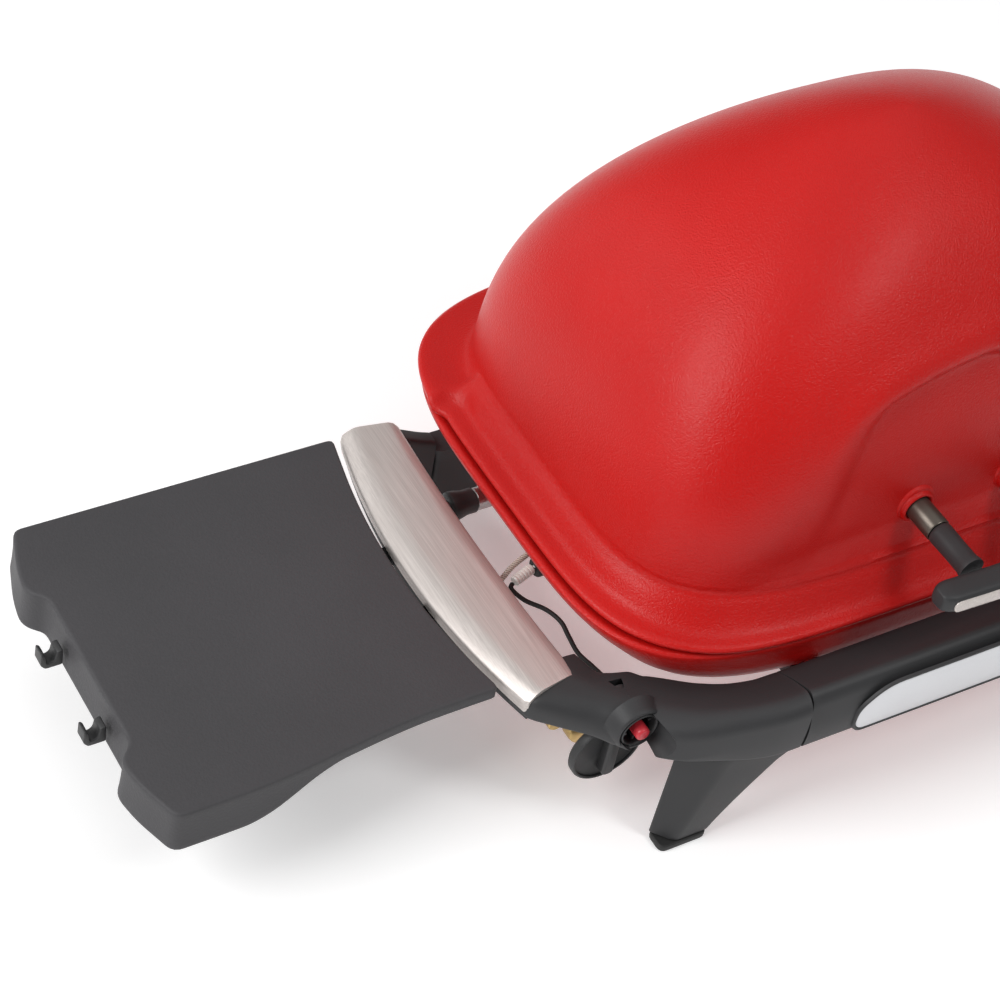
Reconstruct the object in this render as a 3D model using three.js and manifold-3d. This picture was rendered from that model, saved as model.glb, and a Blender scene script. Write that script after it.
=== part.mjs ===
// Tabletop gas barbecue grill with fold-up side tables.
// Millimetres, +Z up, front towards -Y. The ground is z = 0 and the lid's middle plane is x = 0.
import * as THREE from 'three';
import { mergeVertices } from 'three/addons/utils/BufferGeometryUtils.js';
import Module from 'manifold-3d';

const wasm = await Module();
wasm.setup();

// ---- driving dimensions ----------------------------------------------------------------------
const DEPTH_SHIFT = 11.25;        // moves the origin to the middle of the overall depth
const SEGMENTS = 36;              // round the lid and the cookbox
const GAP = 0.4;                  // kept between pieces that touch
const BOX = { halfX: 244, halfY: 171, y: 6, corner: 4.4 };     // plan of the lid's flange
const LID = { flangeZ: 134, lip: 4, footZ: 141, topZ: 372, foot: 0.875, wall: 4, round: 2.0 };
const DOME = { fall: 1.5, shoulder: 2.48 };                    // exponents of the dome's section
const TUB = { rimZ: 127, rim: 0.985, ledgeZ: 104, floorZ: 50, drain: 0.08 };
const HINGE = { y: 185, z: 128, x: 92, pinR: 3, holeR: 3.4, barrelR: 6.4, width: 14, cheek: 7 };
const TRIM = { x: -288, bow: 15.5, halfY: 114, width: 40, widen: 12, topZ: 106, height: 18 };
const CORE = { width: 30, height: 8 };
const ARM = { x: -265, y: 118, z: 94, seamX: 141, seamY: -187 };
const PANEL = { z: 103, rise: 10, width: 26, height: 44, bowY: 5 };
const PLATE = { halfX: 104, height: 36, depth: 1.6, chamfer: 5 };
const LEG = { frontX: 197, frontY: -181, rearX: 190, rearY: 122, footX: 40, footY: 22 };
const PAD = { height: 5, inset: 4 };
const REAR = { y: 122, z: 48, height: 26, width: 16, armZ: 78, armX: -268 };
const TABLE = { innerX: -289, outerX: -506, frontIn: 104, frontOut: 116, rear: 117, topZ: 100,
  deepZ: 70, thinZ: 94, wall: 4, bulge: 14, notch: 62, notchDepth: 11, draft: 0.035, lean: 5 };
const FOLD = { x: -310.5, z: 94.5, barrelR: 4, pinR: 2.2, holeR: 2.5, y: 26, lug: 12, skin: 1.1 };
const HOOK = { y: 31, width: 10, sink: 8 };                    // sink is from the table's top
const GRATE = { z: 104.4, height: 7, scale: 0.835, slots: 8, slotR: 5.5, split: 2, rim: 12 };
const BURNER = { z: 80, halfX: 112, halfY: 66, tubeR: 7.5, inletY: 52 };
const TRAY = { halfX: 70, halfY: 66, z: 27, height: 17, wall: 1.6 };
const HOLDER = { halfX: 76, halfY: 72, z: 23, height: 25, wall: 2 };
const LEAD = { x: -217.9, y: -22, z: 91 };                     // where the leads enter the cookbox
const KNOB = { x: -233, y: -129, z: 53.5, r: 24.5, gripR: 19 };
const IGNITER = { x: -232, y: -162, z: 95.5, r: 12.8, wall: 1.8, length: 30, bore: 20 };
const HANDLE = { halfX: 70, stemX: 37, y: -200, z: 184, stemR: 7.5, baseY: -138 };
const SUPPORT = { x: 104, width: 20, z0: 76, z1: 88 };         // blocks between frame and cookbox

// ---- finishes -------------------------------------------------------------------------------
const finish = (color, roughness, metalness) => () =>
  new THREE.MeshStandardMaterial({ color, roughness, metalness });
const redEnamel = finish(0xc4201c, 0.38, 0.1);
const nylon = finish(0x3a3a3b, 0.6, 0);
const tablePlastic = finish(0x48474a, 0.75, 0);
const satinSilver = finish(0xccc3bb, 0.4, 0.6);
const plateSilver = finish(0xd4d4d4, 0.45, 0.3);
const steel = finish(0xa8a8a8, 0.35, 1);
const castIron = finish(0x26262a, 0.6, 0.2);
const brass = finish(0xb08d4a, 0.4, 1);
const bronze = finish(0x5c5348, 0.45, 0.9);
const rubber = finish(0x141414, 0.8, 0);
const ceramic = finish(0xe6e0da, 0.5, 0);
const redButton = finish(0xb8232a, 0.4, 0);
const aluminium = finish(0xb9bbbd, 0.5, 1);
const braid = finish(0xb9ab9c, 0.8, 0);

// ---- mesh helpers ---------------------------------------------------------------------------
const v2 = (x, y) => new THREE.Vector2(x, y);
const v3 = (x, y, z) => new THREE.Vector3(x, y, z);
const lerp = THREE.MathUtils.lerp;
const smooth = THREE.MathUtils.smoothstep;

/** Merges shared vertices, drops empty triangles and turns the faces out. */
function closed(geometry) {
  const bare = new THREE.BufferGeometry();
  bare.setAttribute('position', geometry.getAttribute('position').clone());
  if (geometry.index) bare.setIndex(geometry.index.clone());
  const merged = mergeVertices(bare, 1e-3);
  const p = merged.getAttribute('position');
  const index = merged.index.array;
  const kept = [];
  let volume = 0;
  const corner = [v3(0, 0, 0), v3(0, 0, 0), v3(0, 0, 0)];
  for (let i = 0; i < index.length; i += 3) {
    const [a, b, c] = [index[i], index[i + 1], index[i + 2]];
    if (a === b || b === c || c === a) continue;
    kept.push([a, b, c]);
    [a, b, c].forEach((k, j) => corner[j].fromBufferAttribute(p, k));
    volume += corner[0].dot(corner[1].clone().cross(corner[2]));
  }
  merged.setIndex(kept.flatMap(([a, b, c]) => (volume > 0 ? [a, b, c] : [a, c, b])));
  return merged;
}

function toSolid(geometry) {
  const g = closed(geometry);
  return new wasm.Manifold(new wasm.Mesh({
    numProp: 3,
    vertProperties: new Float32Array(g.getAttribute('position').array),
    triVerts: new Uint32Array(g.index.array),
  }));
}

function fromSolid(solid) {
  const mesh = solid.getMesh();
  const g = new THREE.BufferGeometry();
  g.setAttribute('position', new THREE.BufferAttribute(new Float32Array(mesh.vertProperties), 3));
  g.setIndex(new THREE.BufferAttribute(new Uint32Array(mesh.triVerts), 1));
  return g;
}

/** Joins pieces to a body and then cuts tools from it. */
function carve(body, { join = [], cut = [] }) {
  let solid = toSolid(body);
  for (const g of join) solid = solid.add(toSolid(g));
  for (const g of cut) solid = solid.subtract(toSolid(g));
  return fromSolid(solid);
}

/** Moves every vertex of a geometry through a function of its place. */
function warp(geometry, move) {
  const p = geometry.getAttribute('position');
  const v = v3(0, 0, 0);
  for (let i = 0; i < p.count; i++) {
    v.fromBufferAttribute(p, i);
    move(v);
    p.setXYZ(i, v.x, v.y, v.z);
  }
  return geometry;
}

/** A point on a superellipse of unit half-sizes; n = 2 is round and a larger n is squarer. */
function superPoint(angle, n) {
  const power = (value) => Math.sign(value) * Math.abs(value) ** (2 / n);
  return v2(power(Math.cos(angle)), power(Math.sin(angle)));
}

/** Turns a section of [share of the flange's size, z] into the grill's rounded oblong plan. */
function oblong(section, segments, cornerAt) {
  const lathe = new THREE.LatheGeometry(section.map(([r, z]) => v2(r, z)), segments);
  return closed(warp(lathe, (v) => {
    const r = Math.hypot(v.x, v.z);
    const s = superPoint(Math.atan2(v.z, v.x), cornerAt(r));
    v.set(BOX.halfX * r * s.x, BOX.y + BOX.halfY * r * s.y, v.y);
  }));
}

/** Sweeps a section (x = left of travel, y = up) along a curve without tilting it. */
function along(section, curve, steps, size = () => [1, 1]) {
  const bar = new THREE.ExtrudeGeometry(section,
    { depth: 1, steps, bevelEnabled: false, curveSegments: 1 });
  return closed(warp(bar, (v) => {
    const t = THREE.MathUtils.clamp(v.z, 0, 1);
    const at = curve.getPointAt(t);
    const way = curve.getTangentAt(t).setZ(0).normalize();
    const [wide, high] = size(t);
    v.set(at.x - way.y * v.x * wide, at.y + way.x * v.x * wide, at.z + v.y * high);
  }));
}

function roundedRect(w, h, r) {
  const s = new THREE.Shape();
  s.moveTo(-w / 2 + r, -h / 2);
  s.lineTo(w / 2 - r, -h / 2);
  s.absarc(w / 2 - r, -h / 2 + r, r, -Math.PI / 2, 0);
  s.absarc(w / 2 - r, h / 2 - r, r, 0, Math.PI / 2);
  s.absarc(-w / 2 + r, h / 2 - r, r, Math.PI / 2, Math.PI);
  s.absarc(-w / 2 + r, -h / 2 + r, r, Math.PI, 1.5 * Math.PI);
  return s;
}

const curve = (...points) => new THREE.CatmullRomCurve3(points, false, 'centripetal');
const box = (x0, x1, y0, y1, z0, z1) =>
  new THREE.BoxGeometry(Math.abs(x1 - x0), Math.abs(y1 - y0), z1 - z0)
    .translate((x0 + x1) / 2, (y0 + y1) / 2, (z0 + z1) / 2);

/** A cylinder between two points. */
function rod(r, from, to, sides = 12) {
  const way = to.clone().sub(from);
  const turn = new THREE.Quaternion().setFromUnitVectors(v3(0, 1, 0), way.clone().normalize());
  const g = new THREE.CylinderGeometry(r, r, way.length(), sides);
  return g.applyQuaternion(turn).translate(...from.clone().add(to).divideScalar(2).toArray());
}

/** A round section swept along a curve. */
function tube(r, path, steps, sides) {
  const ring = new THREE.Shape();
  for (let i = 0; i < sides; i++) {
    const a = (i / sides) * 2 * Math.PI;
    const at = [r * Math.cos(a), r * Math.sin(a)];
    if (i === 0) ring.moveTo(...at);
    else ring.lineTo(...at);
  }
  return closed(new THREE.ExtrudeGeometry(ring, { steps, extrudePath: path, bevelEnabled: false }));
}

const group = new THREE.Group();
group.position.y = DEPTH_SHIFT;

function add(name, geometry, material) {
  const mesh = new THREE.Mesh(closed(geometry), material());
  mesh.name = name;
  group.add(mesh);
}

/** Makes the same piece on the left (as drawn) and, mirrored in x, on the right. */
function addPair(name, draw, material) {
  add(name.replace('SIDE', 'left'), draw(), material);
  add(name.replace('SIDE', 'right'), warp(draw(), (v) => v.setX(-v.x)), material);
}

// ---- lid ------------------------------------------------------------------------------------
const cornerOfBox = (r) => lerp(LID.round, BOX.corner, Math.min(1, (r / LID.foot) ** 2));

/** Points [share, z] of the dome's section from its peak down to its foot. */
function domeSection(foot, z0, z1, count) {
  const points = [];
  for (let i = 0; i <= count; i++) {
    const r = Math.sin((i / count) * Math.PI / 2);
    points.push([foot * r, z0 + (z1 - z0) * (1 - r ** DOME.fall) ** (1 / DOME.shoulder)]);
  }
  return points;
}

/** A cylinder on the hinge's axis that reaches half to each side of x. */
const hingeRod = (r, x, half) => rod(r, v3(x - half, HINGE.y, HINGE.z), v3(x + half, HINGE.y, HINGE.z));

/** The dome with its flange and two hinge ears. */
function lidShell() {
  const outer = [
    ...domeSection(LID.foot, LID.footZ, LID.topZ, 6),
    [0.895, LID.footZ + 1.5],
    [0.985, LID.flangeZ + 2.5],
    [1, LID.flangeZ],
  ];
  const inner = [
    [1, LID.flangeZ - LID.lip],
    [0.94, LID.flangeZ - LID.lip + 1],
    ...domeSection(LID.foot - 0.018, LID.footZ - LID.wall, LID.topZ - LID.wall, 6).reverse(),
  ];
  const ears = [-HINGE.x, HINGE.x].map((x) => box(x - HINGE.width / 2, x + HINGE.width / 2,
    171, HINGE.y + 6, HINGE.z + 2.6, HINGE.z + 9));
  const knuckles = [-HINGE.x, HINGE.x].map((x) => hingeRod(HINGE.barrelR, x, HINGE.width / 2));
  const bores = [-HINGE.x, HINGE.x].map((x) => hingeRod(HINGE.holeR, x, HINGE.width));
  const shell = oblong([...outer, ...inner], SEGMENTS, cornerOfBox);
  return carve(shell, { join: [...ears, ...knuckles], cut: bores });
}
add('lid', lidShell(), redEnamel);

// ---- cookbox --------------------------------------------------------------------------------
/** Outer wall of the cookbox as [share, z] from the rim down. */
const tubOuter = [[TUB.rim, TUB.rimZ], [TUB.rim, TUB.rimZ - 4], [0.955, 113], [0.87, 92], [0.76, 70],
  [0.58, 56], [0.3, TUB.floorZ + 1], [TUB.drain, TUB.floorZ]];
/** Inner wall from the drain hole up, with the ledge that the cooking grates rest on. */
const tubInner = [[TUB.drain, TUB.floorZ + 4], [0.3, TUB.floorZ + 5], [0.57, 60.5], [0.735, 74],
  [0.8, 88], [0.82, TUB.ledgeZ], [0.885, TUB.ledgeZ], [0.93, 115], [0.95, TUB.rimZ]];

/** The tub with its hinge cheeks, bored for the pins, the burner's inlet and the electrode. */
function cookboxShell() {
  const pieces = [-1, 1].flatMap((side) => [-1, 1].flatMap((edge) => {
    const x = side * HINGE.x + edge * (HINGE.width / 2 + 4.5);
    return [
      box(x - HINGE.cheek / 2, x + HINGE.cheek / 2, 165, HINGE.y + 6, HINGE.z - 16, HINGE.z + 1),
      hingeRod(HINGE.barrelR, x, HINGE.cheek / 2),
    ];
  }));
  const bores = [-HINGE.x, HINGE.x].map((x) => hingeRod(HINGE.holeR, x, 20));
  const inside = oblong([[0, 90], ...tubInner.slice(4, -1), [0.95, 140], [0, 140]],
    SEGMENTS, () => BOX.corner);
  const inlet = rod(BURNER.tubeR + 1.2, v3(-240, BURNER.inletY, BURNER.z),
    v3(-160, BURNER.inletY, BURNER.z));
  const lead = rod(4.4, v3(LEAD.x - 30, LEAD.y, LEAD.z), v3(LEAD.x + 30, LEAD.y, LEAD.z));
  const shell = oblong([...tubOuter, ...tubInner, tubOuter[0]], SEGMENTS, () => BOX.corner);
  return carve(carve(shell, { join: pieces }), { cut: [inside, ...bores, inlet, lead] });
}
add('cookbox', cookboxShell(), redEnamel);

addPair('lid_hinge_pin_SIDE', () => hingeRod(HINGE.pinR, -HINGE.x, 18), steel);

// ---- cooking grates -------------------------------------------------------------------------
/** Half of the cooking surface, an oblong plate with round-ended slots. */
function grate() {
  const outline = new THREE.Shape();
  const turns = 16;
  for (let i = 0; i <= turns; i++) {
    const s = superPoint(Math.PI / 2 + (i / turns) * Math.PI, BOX.corner);
    const x = Math.min(-GRATE.split, BOX.halfX * GRATE.scale * s.x);
    const y = BOX.y + BOX.halfY * GRATE.scale * s.y;
    if (i === 0) outline.moveTo(x, y);
    else outline.lineTo(x, y);
  }
  const half = v2(BOX.halfX, BOX.halfY).multiplyScalar(GRATE.scale);
  const pitch = (half.x - GRATE.split - 16) / GRATE.slots;
  for (let i = 0; i < GRATE.slots; i++) {
    const x = -GRATE.split - 8 - pitch * (i + 0.5);
    const edge = (1 - (Math.abs(x) / half.x) ** BOX.corner) ** (1 / BOX.corner);
    const reach = half.y * edge - GRATE.rim - GRATE.slotR;
    for (const [y0, y1] of [[-reach, -11], [11, reach]]) {
      const slot = new THREE.Path();
      slot.absarc(x, BOX.y + y1, GRATE.slotR, 0, Math.PI);
      slot.absarc(x, BOX.y + y0, GRATE.slotR, Math.PI, 2 * Math.PI);
      outline.holes.push(slot);
    }
  }
  const options = { depth: GRATE.height, bevelEnabled: false, curveSegments: 2 };
  return new THREE.ExtrudeGeometry(outline, options).translate(0, 0, GRATE.z);
}
addPair('cooking_grate_SIDE', grate, castIron);

// ---- burner and gas line --------------------------------------------------------------------
/** The burner is one bent tube: an inlet through the left wall, then a loop round the box. */
function burnerPath() {
  const points = [v3(-223, BURNER.inletY, BURNER.z), v3(-165, BURNER.inletY, BURNER.z)];
  const turns = 18;
  for (let i = 0; i <= turns; i++) {
    const s = superPoint(THREE.MathUtils.degToRad(150 - (i / turns) * 300), 3);
    points.push(v3(BURNER.halfX * s.x, BOX.y + BURNER.halfY * s.y, BURNER.z));
  }
  return curve(...points);
}
add('burner_tube', tube(BURNER.tubeR, burnerPath(), 34, 8), steel);

add('burner_venturi', carve(
  rod(10, v3(-241, BURNER.inletY, BURNER.z), v3(-223 - GAP, BURNER.inletY, BURNER.z)),
  { cut: [rod(4.6, v3(-250, BURNER.inletY, BURNER.z), v3(-229, BURNER.inletY, BURNER.z), 12)] },
), nylon);

const pipe = curve(v3(-252, -89.4, 55), v3(-254, -60, 60), v3(-259, -5, 70), v3(-259, 28, 76),
  v3(-253, BURNER.inletY - 5, BURNER.z), v3(-243, BURNER.inletY, BURNER.z),
  v3(-230, BURNER.inletY, BURNER.z));
add('gas_pipe', tube(3.8, pipe, 20, 8), aluminium);

/** The valve's round body with an outlet to the pipe beside it. */
function gasValve() {
  const body = rod(13, v3(KNOB.x, -119, KNOB.z), v3(KNOB.x, -95, KNOB.z), 20);
  const outlet = rod(6, v3(-252, -112, 55), v3(-252, -90 - GAP, 55), 12);
  const bridge = box(-252, -236, -110, -100, 50, 59);
  return carve(body, { join: [outlet, bridge] });
}
add('gas_valve', gasValve(), brass);
add('gas_inlet', carve(rod(6, v3(KNOB.x, -95 + GAP, KNOB.z), v3(KNOB.x, -73, KNOB.z), 12),
  { cut: [rod(3.2, v3(KNOB.x, -87, KNOB.z), v3(KNOB.x, -60, KNOB.z), 10)] }), brass);
add('valve_stem', rod(4, v3(KNOB.x, -119 - GAP, KNOB.z), v3(KNOB.x, KNOB.y + GAP, KNOB.z), 12),
  steel);

/** Burner control: a wide disc with a rim and a grip bar across its face. */
function controlKnob() {
  const section = [[0, 0], [13, 0], [13, 3], [KNOB.r - 2, 5], [KNOB.r, 6.5], [KNOB.r, 12],
    [KNOB.r - 2.5, 12], [KNOB.r - 2.5, 10], [0, 10]];
  const disc = new THREE.LatheGeometry(section.map(([r, z]) => v2(r, z)), 24)
    .rotateX(Math.PI).translate(KNOB.x, KNOB.y, KNOB.z);
  const grip = box(KNOB.x - 4, KNOB.x + 4, KNOB.y - 17, KNOB.y - 8,
    KNOB.z - KNOB.gripR, KNOB.z + KNOB.gripR);
  return carve(disc, { join: [grip] });
}
add('burner_control_knob', controlKnob(), nylon);

// ---- ignition -------------------------------------------------------------------------------
/** Places a piece drawn along +Z on the igniter's axis, towards the front from its mouth. */
const onIgniter = (geometry) =>
  geometry.rotateX(Math.PI / 2).translate(IGNITER.x, IGNITER.y, IGNITER.z);
const latheZ = (section, segments) =>
  new THREE.LatheGeometry(section.map(([r, z]) => v2(r, z)), segments).rotateX(Math.PI / 2);
const boreR = IGNITER.r - IGNITER.wall;
add('igniter_housing', onIgniter(latheZ([[0, -IGNITER.length], [IGNITER.r, -IGNITER.length],
  [IGNITER.r, 0], [boreR, 0], [boreR, -IGNITER.bore], [0, -IGNITER.bore]], 20)), nylon);
add('igniter_button', onIgniter(latheZ([[0, -16], [4.6, -16], [4.6, 3], [3.8, 4], [0, 4]], 14)),
  redButton);

// ---- frame ----------------------------------------------------------------------------------
/** The arm from the handle's front end round the corner to the panel's seam. */
function frontArm() {
  const path = curve(v3(ARM.x, -ARM.y, ARM.z), v3(ARM.x + 1, -124, 94), v3(-234, -150, 95),
    v3(-196, -169, 98), v3(-ARM.seamX + 4, ARM.seamY, PANEL.z));
  const section = roundedRect(26, 44, 8);
  const size = (t) => [lerp(1.45, 1, smooth(t, 0.3, 1)), lerp(0.5, 1, smooth(t, 0.1, 0.8))];
  const beyond = box(-ARM.seamX - GAP, 0, -240, -140, 60, 140);
  return carve(along(section, path, 9, size), { cut: [beyond] });
}
/** The left arm also carries the igniter in a round boss on its corner. */
function igniterArm() {
  const [clear, outer] = [IGNITER.r + GAP, IGNITER.r + 3.6];
  const boss = onIgniter(latheZ([[0, -24], [outer, -24], [outer - 1.2, -1.2], [0, -1.2]], 20));
  const bore = onIgniter(latheZ([[0, -60], [clear, -60], [clear, 30], [0, 30]], 20));
  return carve(frontArm(), { join: [boss], cut: [bore] });
}
add('front_arm_left', igniterArm(), nylon);
add('front_arm_right', warp(frontArm(), (v) => v.setX(-v.x)), nylon);

/** Centre line of the front panel, arched up and out in the middle. */
function panelLine(halfX, drop = 0) {
  const points = [];
  for (let i = 0; i <= 6; i++) {
    const x = (i / 3 - 1) * halfX;
    const lift = Math.max(0, Math.cos((x / ARM.seamX) * Math.PI / 2));
    points.push(v3(x, ARM.seamY - PANEL.bowY * lift, PANEL.z + PANEL.rise * lift - drop));
  }
  return curve(...points);
}

/** The plate's section against the panel's front, swept along it; grow makes its recess. */
function platePiece(grow) {
  const front = -PANEL.width / 2 - PLATE.depth;
  const back = 1 - PANEL.width / 2 + grow;
  const half = PLATE.height / 2 - PLATE.chamfer + grow;
  const section = new THREE.Shape([v2(back, -half), v2(back, half), v2(front, half), v2(front, -half)]);
  return along(section, panelLine(PLATE.halfX, 2), 6);
}
const seams = [-1, 1].map((side) =>
  box(side * ARM.seamX, side * (ARM.seamX + 30), -240, -140, 60, 140));
const panelBar = along(roundedRect(PANEL.width, PANEL.height, 8), panelLine(ARM.seamX + 5), 8);
add('front_panel', carve(panelBar, { cut: [platePiece(GAP), ...seams] }), nylon);
add('badge_plate', platePiece(0), plateSilver);

addPair('rear_arm_SIDE', () => {
  const path = curve(v3(REAR.armX, REAR.y, REAR.armZ), v3(-250, REAR.y, 74), v3(-232, REAR.y, 66),
    v3(-212.5, REAR.y, 58));
  return along(roundedRect(14, 20, 4), path, 5);
}, nylon);
add('rear_rail', along(roundedRect(REAR.width, REAR.height, 4),
  curve(v3(-164, REAR.y, REAR.z), v3(0, REAR.y, REAR.z - 8), v3(164, REAR.y, REAR.z)), 6), nylon);
addPair('cookbox_support_SIDE', () => {
  const [x0, x1] = [-SUPPORT.x - SUPPORT.width / 2, -SUPPORT.x + SUPPORT.width / 2];
  const clear = tubOuter.map(([share, z]) => [share + 0.004, z]);
  const tub = oblong([[0, TUB.rimZ], ...clear, [0, TUB.floorZ]], SEGMENTS, () => BOX.corner);
  const reach = ARM.seamY + PANEL.width / 2 + GAP - PANEL.bowY * 0.4;
  return carve(box(x0, x1, reach, -120, SUPPORT.z0, SUPPORT.z1), { cut: [tub] });
}, nylon);

/** A leg blade: its top meets the frame and its foot is narrower and set outwards. */
function leg(topX0, topX1, topZ, topY, thick, footX, footY) {
  const blade = new THREE.BoxGeometry(1, 1, 1, 1, 1, 4);
  return warp(blade, (v) => {
    const t = v.z + 0.5;
    const x0 = lerp(footX - LEG.footX / 2, topX0, t ** 1.3);
    const x1 = lerp(footX + LEG.footX / 2, topX1, t ** 1.3);
    const y = lerp(footY, topY, t);
    v.set(lerp(x0, x1, v.x + 0.5), y + v.y * lerp(LEG.footY, thick, t), lerp(PAD.height + GAP, topZ, t));
  });
}
addPair('front_leg_SIDE', () => leg(-218, -143, 74, -177, 24, -LEG.frontX, LEG.frontY), nylon);
addPair('rear_leg_SIDE', () => leg(-212, -166, 61, REAR.y, 18, -LEG.rearX, LEG.rearY), nylon);
const pad = (x, y) => new THREE.ExtrudeGeometry(
  roundedRect(LEG.footX - PAD.inset, LEG.footY - PAD.inset, 4),
  { depth: PAD.height, bevelEnabled: false, curveSegments: 1 }).translate(x, y, 0);
addPair('front_foot_pad_SIDE', () => pad(-LEG.frontX, LEG.frontY), rubber);
addPair('rear_foot_pad_SIDE', () => pad(-LEG.rearX, LEG.rearY), rubber);

// ---- handles at the ends --------------------------------------------------------------------
/** Centre line of a handle, bowed outwards in the middle. */
function handleLine(z, bow) {
  const points = [];
  for (let i = 0; i <= 6; i++) {
    const y = lerp(-TRIM.halfY, TRIM.halfY, i / 6);
    points.push(v3(TRIM.x + TRIM.width / 2 - bow * (1 - (y / TRIM.halfY) ** 2), y, z));
  }
  return curve(...points);
}
/** The trim widens inwards, so its inner edge stays almost straight. */
const trimSize = (t) => [1 + (TRIM.widen / TRIM.width) * (1 - (2 * t - 1) ** 2), 1];
addPair('handle_trim_SIDE', () => along(roundedRect(TRIM.width, TRIM.height, 5),
  handleLine(TRIM.topZ - TRIM.height / 2, TRIM.bow - TRIM.widen / 2), 8, trimSize), satinSilver);

/** The bar under the trim, with two lugs that carry the table's hinge. */
function handleCore() {
  const z = TRIM.topZ - TRIM.height - GAP - CORE.height / 2;
  const bar = along(roundedRect(CORE.width, CORE.height, 2), handleLine(z, TRIM.bow), 8);
  const lugs = [-1, 1].flatMap((side) => {
    const [y0, y1] = [side * FOLD.y - FOLD.lug / 2, side * FOLD.y + FOLD.lug / 2];
    const outside = FOLD.x - FOLD.barrelR;
    return [box(outside, -290, y0, y1, z - 3, z + 3), box(outside, FOLD.x + 2, y0, y1, z - 3, FOLD.z),
      rod(FOLD.barrelR, v3(FOLD.x, y0, FOLD.z), v3(FOLD.x, y1, FOLD.z))];
  });
  const bores = [-1, 1].map((side) => rod(FOLD.holeR, v3(FOLD.x, side * FOLD.y - 20, FOLD.z),
    v3(FOLD.x, side * FOLD.y + 20, FOLD.z)));
  return carve(bar, { join: lugs, cut: bores });
}
addPair('handle_core_SIDE', handleCore, nylon);
for (const [end, side] of [['front', -1], ['rear', 1]]) {
  addPair(`table_pin_SIDE_${end}`, () => rod(FOLD.pinR, v3(FOLD.x, side * FOLD.y - 16, FOLD.z),
    v3(FOLD.x, side * FOLD.y + 16, FOLD.z)), steel);
}

// ---- side tables ----------------------------------------------------------------------------
/** Plan of a table, from the rear inner corner round the front; grow offsets it outwards. */
function tablePlan(grow) {
  const { innerX, outerX, notch } = TABLE;
  const inner = (y) => innerX - 3 - TRIM.bow * (1 - Math.min(1, (y / TRIM.halfY) ** 2)) + grow;
  const front = (x) => -lerp(TABLE.frontIn, TABLE.frontOut, smooth(-x, 330, 470)) - grow;
  const rear = TABLE.rear + grow;
  const edge = (y) => outerX - grow - TABLE.bulge * (1 - ((Math.abs(y) - notch) / 54) ** 2);
  const notchX = outerX - TABLE.bulge + TABLE.notchDepth - grow;
  const points = [];
  for (let i = 0; i <= 6; i++) {
    const y = lerp(rear, front(innerX), i / 6);
    points.push(v2(inner(y), y));
  }
  for (let i = 1; i <= 7; i++) {
    const x = lerp(innerX, outerX - grow, i / 7);
    points.push(v2(x, front(x)));
  }
  for (const y of [-88, -notch - 4]) points.push(v2(edge(y), y));
  for (const y of [-notch + 4, -24, 24, notch - 4]) points.push(v2(notchX, y));
  for (const y of [notch + 4, 88]) points.push(v2(edge(y), y));
  for (let i = 7; i >= 1; i--) points.push(v2(lerp(innerX, outerX - grow, i / 7), rear));
  return points;
}
/** Height of the skirt's lower edge: shallow at the handle, deep at the free end. */
const skirtZ = (x) => lerp(TABLE.thinZ - 2, TABLE.deepZ, smooth(-x, 400, 465));

/** A block on the table's plan whose walls lean outwards on their way down. */
function tableBlock(grow, bottom, top) {
  const centre = (TABLE.innerX + TABLE.outerX) / 2;
  const plan = new THREE.Shape(tablePlan(grow));
  const block = new THREE.ExtrudeGeometry(plan, { depth: 1, bevelEnabled: false });
  return warp(block, (v) => {
    const x = v.x < centre ? v.x - (1 - v.z) * TABLE.lean : v.x;
    v.set(x, v.y * (1 + TABLE.draft * (1 - v.z)), lerp(bottom(v.x), top, v.z));
  });
}

/** A hollow slab with a skirt that deepens towards its free end, hinged under the handle. */
function sideTable() {
  const outer = tableBlock(0, skirtZ, TABLE.topZ);
  const inner = tableBlock(-TABLE.wall, () => 60, TABLE.topZ - TABLE.wall);
  const notches = [-1, 1].map((side) => {
    const reach = FOLD.lug / 2 + 0.6;
    return box(FOLD.x - FOLD.barrelR - 0.8, -280, side * FOLD.y - reach, side * FOLD.y + reach,
      60, TABLE.topZ - FOLD.skin);
  });
  const barrels = [-1, 1].flatMap((side) => [-1, 1].map((end) => {
    const [y0, y1] = [FOLD.lug / 2 + 0.6, FOLD.lug / 2 + 11].map((y) => side * FOLD.y + end * y);
    return rod(FOLD.barrelR, v3(FOLD.x, y0, FOLD.z), v3(FOLD.x, y1, FOLD.z));
  }));
  const bores = [-1, 1].map((side) => rod(FOLD.holeR, v3(FOLD.x, side * FOLD.y - 17, FOLD.z),
    v3(FOLD.x, side * FOLD.y + 17, FOLD.z)));
  const hollow = carve(outer, { cut: [inner, ...notches] });
  return carve(hollow, { join: barrels, cut: bores });
}
addPair('side_table_SIDE', sideTable, tablePlastic);

/** A tool hook that hangs in the recess of the table's free end, open upwards. */
function toolHook(y) {
  const x = TABLE.outerX - TABLE.bulge + TABLE.notchDepth - 5.6;
  const s = new THREE.Shape([v2(0, 0), v2(-3, 0), v2(-3, -13), v2(-9, -13), v2(-9, -7), v2(-12, -7),
    v2(-12, -16), v2(0, -16)]);
  return new THREE.ExtrudeGeometry(s, { depth: HOOK.width, bevelEnabled: false })
    .rotateX(Math.PI / 2).translate(x, y + HOOK.width / 2, TABLE.topZ - HOOK.sink);
}
for (const [end, y] of [['front', -HOOK.y], ['rear', HOOK.y]]) {
  addPair(`tool_hook_SIDE_${end}`, () => toolHook(y), nylon);
}

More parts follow.
